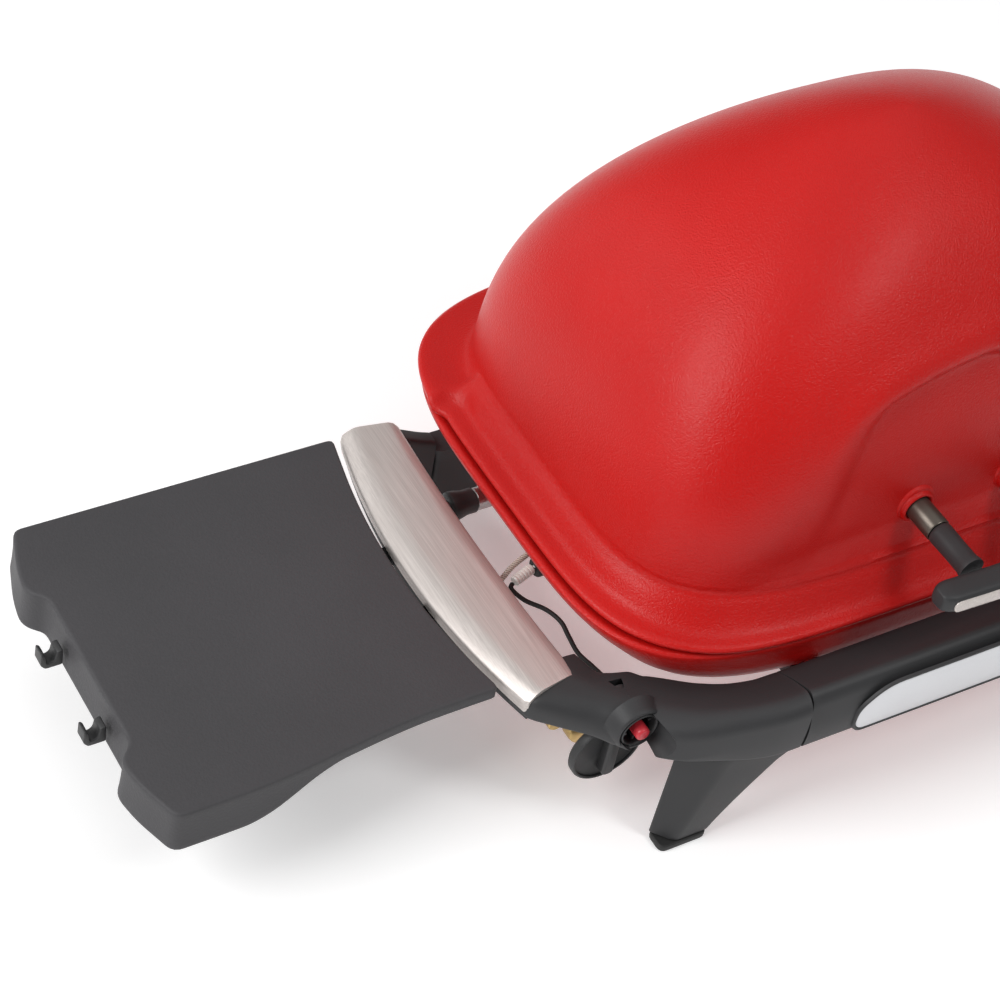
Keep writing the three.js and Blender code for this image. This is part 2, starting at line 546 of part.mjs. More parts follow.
// ---- lid handle -----------------------------------------------------------------------------
const stemStart = HANDLE.baseY - 19;
addPair('handle_ferrule_SIDE', () => rod(HANDLE.stemR + 0.6,
  v3(-HANDLE.stemX, HANDLE.baseY - 4, HANDLE.z), v3(-HANDLE.stemX, stemStart, HANDLE.z)), bronze);
addPair('handle_stem_SIDE', () => rod(HANDLE.stemR,
  v3(-HANDLE.stemX, stemStart - GAP, HANDLE.z),
  v3(-HANDLE.stemX, HANDLE.y + 12, HANDLE.z - 1)), nylon);
const barLine = (dy, dz) => curve(v3(-HANDLE.halfX, HANDLE.y + dy + 2, HANDLE.z + dz),
  v3(0, HANDLE.y + dy - 2, HANDLE.z + dz), v3(HANDLE.halfX, HANDLE.y + dy + 2, HANDLE.z + dz));
const insertPiece = (grow) => along(roundedRect(3 + grow, 9 + 2 * grow, 1), curve(
  v3(-HANDLE.halfX + 7 - grow, HANDLE.y - 8.4, HANDLE.z - 2), v3(0, HANDLE.y - 12.4, HANDLE.z - 2),
  v3(HANDLE.halfX - 7 + grow, HANDLE.y - 8.4, HANDLE.z - 2)), 6);
add('lid_handle_bar', carve(along(roundedRect(20, 17, 6), barLine(0, -1), 8),
  { cut: [insertPiece(GAP)] }), nylon);
add('lid_handle_insert', insertPiece(0), satinSilver);

// ---- ignition electrode and its leads -------------------------------------------------------
add('lead_grommet', carve(latheZ([[0, -6], [4, -6], [4, 0], [6.5, 0], [6.5, 5], [0, 5]], 14)
  .rotateY(-Math.PI / 2).translate(LEAD.x, LEAD.y, LEAD.z),
{ cut: [rod(2.4, v3(-260, LEAD.y, LEAD.z), v3(-180, LEAD.y, LEAD.z), 10)] }), rubber);
add('electrode_connector', rod(3.6, v3(LEAD.x - 6.5, LEAD.y, LEAD.z),
  v3(LEAD.x - 21, LEAD.y - 4, LEAD.z - 2)), ceramic);
add('electrode', rod(2, v3(LEAD.x - 5.5, LEAD.y, LEAD.z), v3(-120, LEAD.y, LEAD.z), 10), steel);

const igniterRear = v3(IGNITER.x, IGNITER.y + IGNITER.length + 4 * GAP, IGNITER.z);
add('igniter_lead', tube(1.5, curve(v3(-240.3, -26.6, 88.7), v3(-242.8, -30, 88), v3(-238, -39, 85),
  v3(-229, -50, 84), v3(-225.5, -62, 84), v3(-226.5, -74, 83), v3(-228.5, -88, 84),
  v3(-228, -104, 88), v3(-230, -118, 94), igniterRear), 40, 6), rubber);
add('ground_lead', tube(1.8, curve(v3(-213.8, -8, 91), v3(-222, -11, 91), v3(-234, -15, 89.5),
  v3(-246, -21, 87), v3(-256, -25, 85), v3(-265.6, -28, 84)), 16, 6), braid);

// ---- grease tray ----------------------------------------------------------------------------
/** An open tray; its front wall can be left out so that another can slide in. */
function tray({ halfX, halfY, z, height, wall }, frontWall) {
  const front = frontWall ? wall - halfY : -halfY - 1;
  return carve(box(-halfX, halfX, -halfY, halfY, z, z + height),
    { cut: [box(wall - halfX, halfX - wall, front, halfY - wall, z + wall, z + height + 1)] });
}
add('grease_tray', tray(TRAY, true), aluminium);
add('tray_holder', tray(HOLDER, false), steel);

export default group;
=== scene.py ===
import logging
import math
from dataclasses import dataclass, field
from enum import Enum
from typing import Callable, Iterable, Optional, Sequence, Union

import bmesh
import bpy
import numpy as np
from mathutils import Matrix, Vector


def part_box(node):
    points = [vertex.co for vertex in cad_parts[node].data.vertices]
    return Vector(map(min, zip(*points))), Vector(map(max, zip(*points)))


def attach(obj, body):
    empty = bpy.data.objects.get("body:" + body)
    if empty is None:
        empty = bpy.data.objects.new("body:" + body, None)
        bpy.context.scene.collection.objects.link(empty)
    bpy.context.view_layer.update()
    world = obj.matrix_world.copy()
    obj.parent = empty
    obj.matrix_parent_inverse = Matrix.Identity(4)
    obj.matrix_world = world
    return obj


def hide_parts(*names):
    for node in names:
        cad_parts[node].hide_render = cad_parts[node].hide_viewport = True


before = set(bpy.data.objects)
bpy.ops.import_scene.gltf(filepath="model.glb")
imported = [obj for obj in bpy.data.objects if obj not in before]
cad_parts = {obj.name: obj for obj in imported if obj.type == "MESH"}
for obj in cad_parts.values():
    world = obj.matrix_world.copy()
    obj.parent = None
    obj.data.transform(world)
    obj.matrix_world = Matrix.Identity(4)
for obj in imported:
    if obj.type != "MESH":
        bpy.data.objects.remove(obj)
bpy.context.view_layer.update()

LOG = logging.getLogger("gas_grill")
MM = 0.001
# The lid's flange reaches 165 mm in front of the grill's own middle line, so it places the rest.
MIDDLE_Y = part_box("lid")[0].y / MM + 165.0
# The middle of the igniter's mouth, and of the back of the burner control.
IGNITER = (-232.0, -162.0, 95.5)
KNOB = (-233.0, -129.0, 53.5)
# The left table's fold axis, and how far its two pins are from the middle.
FOLD_X, FOLD_Z = -310.5, 94.5
PIN_Y = 26
Points = np.ndarray


# ---------------------------------------------------------------- small geometry helpers
def smooth(value: Union[float, Points], low: float, high: float) -> Union[float, Points]:
    """Eases from 0 below low to 1 above high."""
    t = np.clip((np.asarray(value, float) - low) / (high - low), 0.0, 1.0)
    return t * t * (3 - 2 * t)


def mix(a: float, b: float, t: Union[float, Points]) -> Union[float, Points]:
    """The value a share t of the way from a to b."""
    return a + (b - a) * t


def curve_through(points: Sequence[Sequence[float]], count: int) -> Points:
    """A smooth curve through points.

    Args:
        points: The places it passes, in order.
        count: How many points to return, evenly spaced along it.

    Returns:
        The curve's points.
    """
    p = np.array(points, float)
    p = np.vstack([2 * p[0] - p[1], p, 2 * p[-1] - p[-2]])
    fine = []
    for k in range(1, len(p) - 2):
        t = np.linspace(0, 1, 24, endpoint=False)[:, None]
        a, b, c, d = p[k - 1], p[k], p[k + 1], p[k + 2]
        fine.append(0.5 * (2 * b + (c - a) * t + (2 * a - 5 * b + 4 * c - d) * t ** 2
                           + (3 * b - a - 3 * c + d) * t ** 3))
    line = np.vstack(fine + [p[-2]])
    return even(line, count)


def even(line: Points, count: int) -> Points:
    """The same open line with count points, evenly spaced along it."""
    step = np.linalg.norm(np.diff(line, axis=0), axis=1)
    along = np.concatenate([[0], np.cumsum(step)])
    where = np.linspace(0, along[-1], count)
    return np.stack([np.interp(where, along, line[:, k]) for k in range(line.shape[1])], 1)


def rounded(corners: Sequence[Sequence[float]], radius: float, steps: int = 4) -> Points:
    """A closed outline with its corners rounded.

    Args:
        corners: The outline's corners, each as two numbers and, if it differs, its own radius.
        radius: How far from a corner the rounding starts.
        steps: Pieces in each rounded corner.

    Returns:
        The outline's points.
    """
    out = []
    count = len(corners)
    for k in range(count):
        p = np.array(corners[k][:2], float)
        before = np.array(corners[k - 1][:2], float) - p
        after = np.array(corners[(k + 1) % count][:2], float) - p
        r = corners[k][2] if len(corners[k]) > 2 else radius
        reach = min(r, np.linalg.norm(before) * 0.49, np.linalg.norm(after) * 0.49)
        a = p + before / np.linalg.norm(before) * reach
        b = p + after / np.linalg.norm(after) * reach
        for t in np.linspace(0, 1, steps + 1):
            out.append((1 - t) ** 2 * a + 2 * t * (1 - t) * p + t * t * b)
    return np.array(out)


def inset(outline: Points, distance: float) -> Points:
    """A closed outline, counter-clockwise, moved inwards by a distance."""
    before = outline - np.roll(outline, 1, 0)
    after = np.roll(outline, -1, 0) - outline
    normal = np.zeros_like(outline)
    for edge in (before, after):
        size = np.linalg.norm(edge, axis=1, keepdims=True)
        edge = np.where(size > 1e-9, edge / np.maximum(size, 1e-9), 0)
        normal += np.stack([-edge[:, 1], edge[:, 0]], 1)
    size = np.linalg.norm(normal, axis=1, keepdims=True)
    normal /= np.maximum(size, 1e-9)
    return outline + normal * distance * np.minimum(1.6, 2 / np.maximum(size, 0.5))


class Shell:
    """A mesh in the grill's own millimetres, put together from closed parts."""

    def __init__(self) -> None:
        """Starts with no faces."""
        self.points: list[Points] = []
        self.faces: list[tuple[int, ...]] = []
        self.count = 0

    def put(self, points: Points) -> int:
        """Adds points and returns the number of the first."""
        first = self.count
        self.points.append(np.asarray(points, float))
        self.count += len(points)
        return first

    def loft(self, rings: Sequence[Points], caps: bool = True, closed: bool = False) -> "Shell":
        """Joins rings of equal counts with faces.

        Args:
            rings: The rings, in order.
            caps: Whether the first and the last ring are filled.
            closed: Whether the last ring joins back to the first.

        Returns:
            The shell itself.
        """
        n = len(rings[0])
        first = self.put(np.vstack(rings))
        total = len(rings)
        for k in range(total if closed else total - 1):
            a, b = first + k * n, first + ((k + 1) % total) * n
            for i in range(n):
                j = (i + 1) % n
                self.faces.append((a + i, a + j, b + j, b + i))
        if caps and not closed:
            self.faces.append(tuple(range(first + n - 1, first - 1, -1)))
            last = first + (total - 1) * n
            self.faces.append(tuple(range(last, last + n)))
        return self

    def turn(self, profile: Sequence[Sequence[float]], start: Sequence[float],
             axis: Sequence[float], sides: int = 32, closed: bool = False) -> "Shell":
        """Adds a turned part.

        Args:
            profile: Its radius and height, pair by pair, from one end to the other.
            start: Where its height is zero.
            axis: The way that its height grows.
            sides: Points round it.
            closed: Whether the profile goes round a wall with a hole inside.

        Returns:
            The shell itself.
        """
        way = Vector(axis).normalized()
        turn = np.array(Vector((0, 0, 1)).rotation_difference(way).to_matrix())
        angle = np.linspace(0, 2 * math.pi, sides, endpoint=False)
        rings = [
            np.stack([r * np.cos(angle), r * np.sin(angle), np.full(sides, h)], 1) @ turn.T
            + np.array(start, float)
            for r, h in ((max(r, 0.02), h) for r, h in profile)
        ]
        return self.loft(rings, closed=closed)

    def sweep(self, section: Points, path: Points,
              size: Optional[Callable[[float], tuple[float, float]]] = None) -> "Shell":
        """Carries a section along a path without tilting it.

        Args:
            section: Its outline, as distance to the left of travel and height.
            path: The points that it follows.
            size: The section's width and height, as shares of its own, at a share of the path.

        Returns:
            The shell itself.
        """
        way = np.gradient(path, axis=0)
        way[:, 2] = 0
        way /= np.linalg.norm(way, axis=1, keepdims=True)
        rings = []
        for k, (at, d) in enumerate(zip(path, way)):
            wide, high = size(k / (len(path) - 1)) if size else (1, 1)
            left = np.array([-d[1], d[0], 0])
            rings.append(at + np.outer(section[:, 0] * wide, left)
                         + np.outer(section[:, 1] * high, [0, 0, 1]))
        return self.loft(rings)

    def pipe(self, path: Points, radius: float, sides: int = 16,
             ends: float = 0.25) -> "Shell":
        """Adds a round bar or lead along a path, its ends slightly rounded off.

        Args:
            path: The points of its middle line.
            radius: Its radius.
            sides: Points round it.
            ends: The share of the radius that the rounding of the ends takes.

        Returns:
            The shell itself.
        """
        way = np.gradient(path, axis=0)
        way /= np.linalg.norm(way, axis=1, keepdims=True)
        side = np.cross(way[0], [0.03, 0.05, 1.0])
        side /= np.linalg.norm(side)
        angle = np.linspace(0, 2 * math.pi, sides, endpoint=False)
        rings = []
        for k, (at, d) in enumerate(zip(path, way)):
            side = side - d * (side @ d)
            side /= np.linalg.norm(side)
            up = np.cross(d, side)
            around = np.outer(np.cos(angle), side) + np.outer(np.sin(angle), up)
            edge = ends * radius
            if k == 0:
                rings.append(at + around * (radius - edge))
                rings.append(at + d * edge + around * radius)
            elif k == len(path) - 1:
                rings.append(at - d * edge + around * radius)
                rings.append(at + around * (radius - edge))
            else:
                rings.append(at + around * radius)
        return self.loft(rings)

    def slab(self, outline: Points, low: float, high: float, edge: float,
             place: Callable[[Points, Points, Points], Points]) -> "Shell":
        """Adds a flat piece with rounded edges.

        Args:
            outline: Its outline, counter-clockwise.
            low: Its lower face.
            high: Its upper face.
            edge: The radius of its edges.
            place: Turns the outline's two numbers and a height into points.

        Returns:
            The shell itself.
        """
        rings = []
        for share in (0.0, 0.35, 0.7, 1.0):
            turned = math.sin(share * math.pi / 2)
            rings.append((edge * (1 - turned), low + edge * (1 - math.cos(share * math.pi / 2))))
        rings += [(d, high - (z - low)) for d, z in reversed(rings)]
        made = []
        for d, z in rings:
            flat = inset(outline, d)
            made.append(place(flat[:, 0], flat[:, 1], np.full(len(flat), z)))
        return self.loft(made)

    def mirrored(self) -> "Shell":
        """The same shell on the other side of x = 0."""
        other = Shell()
        for part in self.points:
            other.put(part * np.array([-1, 1, 1]))
        other.faces = [tuple(reversed(f)) for f in self.faces]
        return other

    def carved(self, joined: "Shell", cut: "Shell") -> "Shell":
        """The shell with one other joined to it and then another cut from it."""
        work = [shell.to_object(name, 60) for shell, name in
                ((self, "carving"), (joined, "joined"), (cut, "cutter"))]
        for other, operation in ((work[1], "UNION"), (work[2], "DIFFERENCE")):
            step = work[0].modifiers.new(operation, "BOOLEAN")
            step.object, step.operation, step.solver = other, operation, "EXACT"
        graph = bpy.context.evaluated_depsgraph_get()
        mesh = bpy.data.meshes.new_from_object(work[0].evaluated_get(graph))
        made = Shell()
        made.put(np.array([v.co for v in mesh.vertices]) / MM - np.array([0, MIDDLE_Y, 0]))
        made.faces = [tuple(face.vertices) for face in mesh.polygons]
        for thing in work:
            bpy.data.objects.remove(thing)
        return made

    def to_object(self, name: str, sharp: float) -> bpy.types.Object:
        """Makes the Blender object.

        Args:
            name: The piece's name.
            sharp: The angle in degrees above which an edge stays sharp.

        Returns:
            The new object, in metres.
        """
        at = np.vstack(self.points) + np.array([0, MIDDLE_Y, 0])
        mesh = bpy.data.meshes.new(name)
        mesh.from_pydata((at * MM).tolist(), [], self.faces)
        work = bmesh.new()
        work.from_mesh(mesh)
        bmesh.ops.remove_doubles(work, verts=work.verts, dist=1e-6)
        bmesh.ops.recalc_face_normals(work, faces=work.faces)
        work.to_mesh(mesh)
        work.free()
        mesh.shade_smooth()
        mesh.set_sharp_from_angle(angle=math.radians(sharp))
        made = bpy.data.objects.new(name, mesh)
        bpy.context.scene.collection.objects.link(made)
        return made


def flat_plan(u: Points, v: Points, w: Points) -> Points:
    """Lays an outline in the plan, its height up."""
    return np.stack([u, v, w], 1)


# ---------------------------------------------------------------- finishes
class Paint:
    """Builds one material's node tree."""

    def __init__(self, name: str) -> None:
        """Starts an empty material with its shader and output."""
        self.material = bpy.data.materials.new(name)
        self.material.use_nodes = True
        self.tree = self.material.node_tree
        self.tree.nodes.clear()
        self.shader = self.tree.nodes.new("ShaderNodeBsdfPrincipled")
        output = self.tree.nodes.new("ShaderNodeOutputMaterial")
        self.tree.links.new(self.shader.outputs[0], output.inputs[0])
        self.place = self.node("ShaderNodeTexCoord", out="Object")

    def node(self, kind: str, settings: Optional[dict] = None,
             inputs: Optional[dict] = None, out: Union[int, str] = 0) -> "Sock":
        """Adds any node.

        Args:
            kind: Its Blender type.
            settings: Its properties; "stops" holds a ramp's places and colours.
            inputs: Values or sockets by the input's name or number.
            out: The output that is wanted.

        Returns:
            That output, wrapped.
        """
        made = self.tree.nodes.new(kind)
        for key, value in (settings or {}).items():
            if key == "stops":
                ramp = made.color_ramp.elements
                while len(ramp) < len(value):
                    ramp.new(0.5)
                for stop, (where, colour) in zip(ramp, value):
                    stop.position, stop.color = where, colour
            else:
                setattr(made, key, value)
        for key, value in (inputs or {}).items():
            if isinstance(value, Sock):
                self.tree.links.new(value.socket, made.inputs[key])
            else:
                made.inputs[key].default_value = value
        return Sock(self, made.outputs[out])

    def noise(self, scale: float, detail: float = 3.0,
              stretch: tuple[float, float, float] = (1, 1, 1)) -> "Sock":
        """Cloudy noise between about 0 and 1, with features of 1/scale metres."""
        where = self.place
        if stretch != (1, 1, 1):
            where = self.node("ShaderNodeVectorMath", {"operation": "MULTIPLY"},
                              {0: self.place, 1: stretch})
        return self.node("ShaderNodeTexNoise", None,
                         {"Vector": where, "Scale": scale, "Detail": detail})

    def blend(self, a: Union["Sock", tuple], b: Union["Sock", tuple], share: "Sock") -> "Sock":
        """A colour between a and b."""
        return self.node("ShaderNodeMix", {"data_type": "RGBA"},
                         {"Factor": share, 6: a, 7: b}, out=2)

    def set(self, **sockets: Union["Sock", float, tuple]) -> None:
        """Sets the shader's own sockets, a space in a name written as an underscore."""
        for key, value in sockets.items():
            socket = self.shader.inputs[key.replace("_", " ")]
            if isinstance(value, Sock):
                self.tree.links.new(value.socket, socket)
            else:
                socket.default_value = value

    def bump(self, height: "Sock", strength: float, depth: float) -> None:
        """Adds a bump from a height, its depth in metres."""
        self.set(Normal=self.node("ShaderNodeBump", None, {
            "Strength": strength, "Distance": depth, "Height": height}))


class Sock:
    """An output socket on which arithmetic adds Math nodes."""

    def __init__(self, paint: Paint, socket: bpy.types.NodeSocket) -> None:
        """Wraps a socket of a paint's tree."""
        self.paint, self.socket = paint, socket

    def math(self, operation: str, first: Union["Sock", float],
             second: Union["Sock", float] = 0.0, clamp: bool = False) -> "Sock":
        """Adds one Math node on two values."""
        return self.paint.node("ShaderNodeMath", {"operation": operation, "use_clamp": clamp},
                               {0: first, 1: second})

    def __add__(self, other: Union["Sock", float]) -> "Sock":
        """self + other."""
        return self.math("ADD", self, other)

    __radd__ = __add__

    def __mul__(self, other: Union["Sock", float]) -> "Sock":
        """self * other."""
        return self.math("MULTIPLY", self, other)

    __rmul__ = __mul__

    def __sub__(self, other: Union["Sock", float]) -> "Sock":
        """self - other."""
        return self.math("SUBTRACT", self, other)

    def __rsub__(self, other: float) -> "Sock":
        """other - self."""
        return self.math("SUBTRACT", other, self)

    def __truediv__(self, other: Union["Sock", float]) -> "Sock":
        """self / other."""
        return self.math("DIVIDE", self, other)

    def __pow__(self, other: float) -> "Sock":
        """self ** other."""
        return self.math("POWER", self, other)

    def steps(self, low: float, high: float) -> "Sock":
        """Spreads low to high over 0 to 1, clamped."""
        return self.math("MULTIPLY", self - low, 1 / (high - low), clamp=True)


class Surface(Enum):
    """How a finish looks close up."""

    ENAMEL = "orange peel in glossy enamel"
    MOULDED = "fine grain of moulded nylon"
    PEBBLED = "pebbled grain of a table top"
    BRUSHED = "fine lines along Y"
    SATIN = "smooth satin metal"
    CAST = "sand-cast metal"
    WOVEN = "braided sleeve"
    GLAZED = "glazed ceramic or polished plastic"


@dataclass(frozen=True)
class Finish:
    """One finish: its two tones, its gloss and the grain on it."""

    slot: str
    surface: Surface
    dark: tuple[float, float, float]
    light: tuple[float, float, float]
    roughness: float
    metallic: float = 0.0
    coat: float = 0.0
    grain: float = 0.2
    shine: float = 0.4

    def material(self) -> bpy.types.Material:
        """The finish's material, made once."""
        known = bpy.data.materials.get("finish_" + self.slot)
        return known or self.make()

    def make(self) -> bpy.types.Material:
        """Builds the node tree."""
        paint = Paint("finish_" + self.slot)
        dark, light = (*self.dark, 1.0), (*self.light, 1.0)
        cloud = paint.noise(7.0, 4.0).steps(0.3, 0.7)
        fine, colour, gloss, depth = self.detail(paint, cloud)
        if colour is None:
            colour = paint.blend(dark, light, (cloud * 0.6 + fine * 0.4).steps(0.15, 0.85))
        # Painted highlight: convex edges, found by pointiness, are blended towards a paler tone of
        # the finish, standing in for light caught along the edges.
        edge = paint.node("ShaderNodeNewGeometry", out="Pointiness").steps(0.52, 0.62)
        edge_highlight_tone = tuple(min(1.0, c * 1.25 + 0.01) for c in self.light)
        colour = paint.blend(colour, (*edge_highlight_tone, 1.0), edge * 0.45)
        paint.set(Base_Color=colour, Metallic=self.metallic, Coat_Weight=self.coat,
                  Coat_Roughness=0.25, Roughness=gloss, Specular_IOR_Level=self.shine)
        paint.bump(fine, self.grain, depth)
        return paint.material

    def detail(self, paint: Paint, cloud: Sock) -> tuple[Sock, Optional[Sock], Sock, float]:
        """The grain of the surface.

        Args:
            paint: The material that is being built.
            cloud: Slow variation over the surface.

        Returns:
            The grain's height, a colour of its own or None, the roughness and the grain's depth.
        """
        rough = self.roughness
        colour = None
        if self.surface is Surface.ENAMEL:
            peel = paint.noise(760.0, 2.0)
            fine = peel * 0.65 + paint.noise(1500.0, 1.0) * 0.35
            depth, gloss = 0.0008, fine * 0.16 + (rough - 0.08)
        elif self.surface is Surface.MOULDED:
            fine = paint.noise(1300.0, 2.0)
            depth, gloss = 0.0004, fine * 0.12 + cloud * 0.06 + (rough - 0.09)
        elif self.surface is Surface.PEBBLED:
            cells = paint.node("ShaderNodeTexVoronoi", {"feature": "SMOOTH_F1"},
                               {"Vector": paint.place, "Scale": 620.0, "Smoothness": 0.6})
            fine = cells * 0.7 + paint.noise(1600.0, 2.0) * 0.5
            depth, gloss = 0.0006, fine * 0.1 + cloud * 0.08 + (rough - 0.09)
        elif self.surface is Surface.BRUSHED:
            lines = paint.noise(1.0, 3.0, stretch=(1500.0, 24.0, 1500.0))
            fine = lines * 0.7 + paint.noise(1.0, 1.0, stretch=(420.0, 9.0, 420.0)) * 0.3
            depth, gloss = 0.0003, fine * 0.22 + (rough - 0.11)
            colour = paint.blend((*self.dark, 1.0), (*self.light, 1.0), fine.steps(0.34, 0.66))
        elif self.surface is Surface.CAST:
            fine = paint.noise(420.0, 4.0) * 0.7 + paint.noise(1400.0, 2.0) * 0.3
            depth, gloss = 0.0010, fine * 0.2 + (rough - 0.1)
        elif self.surface is Surface.WOVEN:
            one = paint.node("ShaderNodeTexWave", {"bands_direction": "DIAGONAL"},
                             {"Vector": paint.place, "Scale": 260.0, "Distortion": 1.5}, out=1)
            other = paint.node("ShaderNodeTexWave", {"bands_direction": "X"},
                               {"Vector": paint.place, "Scale": 420.0, "Distortion": 2.0}, out=1)
            fine = one.math("MAXIMUM", one, other)
            depth, gloss = 0.0005, fine * 0.1 + (rough - 0.05)
            colour = paint.blend((*self.dark, 1.0), (*self.light, 1.0), fine.steps(0.45, 0.7))
        else:
            fine = paint.noise(900.0, 2.0)
            shift = 0.14 if self.surface is Surface.SATIN else 0.05
            depth, gloss = 0.0002, fine * shift + cloud * shift + (rough - shift)
        return fine, colour, gloss, depth


RED_ENAMEL = Finish("red_enamel", Surface.ENAMEL, (0.47, 0.005, 0.004), (0.56, 0.009, 0.007),
                    0.32, coat=0.05, grain=0.8, shine=0.24)
FRAME_BLACK = Finish("frame_black", Surface.MOULDED, (0.026, 0.026, 0.027), (0.036, 0.036, 0.038),
                     0.50, grain=0.22, shine=0.34)
TABLE_GREY = Finish("table_grey", Surface.PEBBLED, (0.043, 0.042, 0.045), (0.056, 0.054, 0.058),
                    0.60, grain=0.35)
TRIM_SILVER = Finish("trim_silver", Surface.BRUSHED, (0.50, 0.455, 0.43), (0.64, 0.59, 0.56),
                     0.42, metallic=0.55, grain=0.12)
PLATE_SILVER = Finish("plate_silver", Surface.SATIN, (0.60, 0.61, 0.63), (0.70, 0.71, 0.73),
                      0.36, metallic=0.7, grain=0.05)
STEEL = Finish("steel", Surface.BRUSHED, (0.36, 0.355, 0.35), (0.52, 0.515, 0.51),
               0.34, metallic=1.0, grain=0.12)
ALUMINIUM = Finish("aluminium", Surface.SATIN, (0.50, 0.51, 0.52), (0.62, 0.63, 0.64),
                   0.38, metallic=1.0, grain=0.08)
CAST_IRON = Finish("cast_iron", Surface.CAST, (0.014, 0.014, 0.015), (0.032, 0.031, 0.030),
                   0.50, coat=0.15, grain=0.45)
BRASS = Finish("brass", Surface.SATIN, (0.50, 0.34, 0.13), (0.62, 0.45, 0.20),
               0.34, metallic=1.0, grain=0.08)
BRONZE = Finish("bronze", Surface.SATIN, (0.085, 0.072, 0.060), (0.13, 0.112, 0.095),
                0.40, metallic=0.8, grain=0.1)
RUBBER = Finish("rubber_black", Surface.MOULDED, (0.010, 0.010, 0.010), (0.020, 0.020, 0.020),
                0.58, grain=0.15)
CERAMIC = Finish("ceramic_white", Surface.GLAZED, (0.66, 0.62, 0.58), (0.80, 0.77, 0.73),
                 0.35, coat=0.3, grain=0.03)
BUTTON_RED = Finish("button_red", Surface.GLAZED, (0.42, 0.012, 0.020), (0.55, 0.030, 0.045),
                    0.40, coat=0.2, grain=0.05)
KNOB_BLACK = Finish("knob_black", Surface.MOULDED, (0.022, 0.022, 0.023), (0.034, 0.034, 0.035),
                    0.46, grain=0.15)
BRAID = Finish("braid", Surface.WOVEN, (0.16, 0.12, 0.08), (0.72, 0.66, 0.58),
               0.75, grain=0.5)


@dataclass
class SubAssembly:
    """A group of pieces that ride on one body of the frame."""

    body: str = "frame"

    def piece(self, name: str, shell: Shell, finish: Finish, *nodes: str,
              sharp: float = 38.0) -> bpy.types.Object:
        """Makes a piece that stands for CAD nodes and rides on this group's body.

        Args:
            name: The piece's name.
            shell: Its mesh.
            finish: Its finish.
            nodes: The CAD nodes that it stands for.
            sharp: The angle in degrees above which an edge stays sharp.

        Returns:
            The piece.
        """
        made = shell.to_object(name, sharp)
        made.data.materials.append(finish.material())
        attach(made, self.body)
        if nodes:
            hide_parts(*nodes)
        LOG.info("%s: %d faces on %s", name, len(made.data.polygons), self.body)
        return made

    def pair(self, name: str, shell: Shell, finish: Finish, sharp: float = 38.0,
             nodes: Optional[Sequence[str]] = None) -> None:
        """Makes a left piece as drawn and a mirrored right one.

        Args:
            name: The name, with SIDE where left or right goes.
            shell: The left mesh.
            finish: The finish of both.
            sharp: The angle in degrees above which an edge stays sharp.
            nodes: The CAD nodes, named alike; the piece's own name if left out.
        """
        for side, drawn in (("left", shell), ("right", shell.mirrored())):
            stood_for = [n.replace("SIDE", side) for n in (nodes or [name])]
            self.piece(name.replace("SIDE", side) + "_shape", drawn, finish, *stood_for,
                       sharp=sharp)


# ---------------------------------------------------------------- lid and cookbox
@dataclass
class Oblong:
    """The grill's rounded oblong plan and the dome on it."""

    half_x: float = 244.0
    half_y: float = 171.0
    y: float = 6.0
    corner: float = 4.4
    top_corner: float = 2.0
    foot: float = 0.875
    foot_z: float = 141.0
    top_z: float = 372.0
    fall: float = 1.5
    shoulder: float = 2.48
    columns: int = 360

    def ring(self, share: float, z: float, corner: Optional[float] = None) -> Points:
        """A ring of the plan at a share of its full size and a height."""
        angle = np.linspace(0, 2 * math.pi, self.columns, endpoint=False)
        c, s = np.cos(angle), np.sin(angle)
        grown = min(1.0, (share / self.foot) ** 2)
        n = corner or mix(self.top_corner, self.corner, grown)
        k = (np.abs(c) ** n + np.abs(s) ** n) ** (-1 / n)
        return np.stack([self.half_x * share * c * k,
                         self.y + self.half_y * share * s * k, np.full(len(angle), z)], 1)

    def dome_share(self, z: float) -> float:
        """The dome's share of the plan at a height."""
        t = min(1.0, max(0.0, (z - self.foot_z) / (self.top_z - self.foot_z)))
        return self.foot * (1 - t ** self.shoulder) ** (1 / self.fall)

    def dome_height(self, share: float) -> float:
        """The dome's height at a share of the plan."""
        r = min(1.0, share / self.foot)
        rise = (1 - r ** self.fall) ** (1 / self.shoulder)
        return self.foot_z + (self.top_z - self.foot_z) * rise


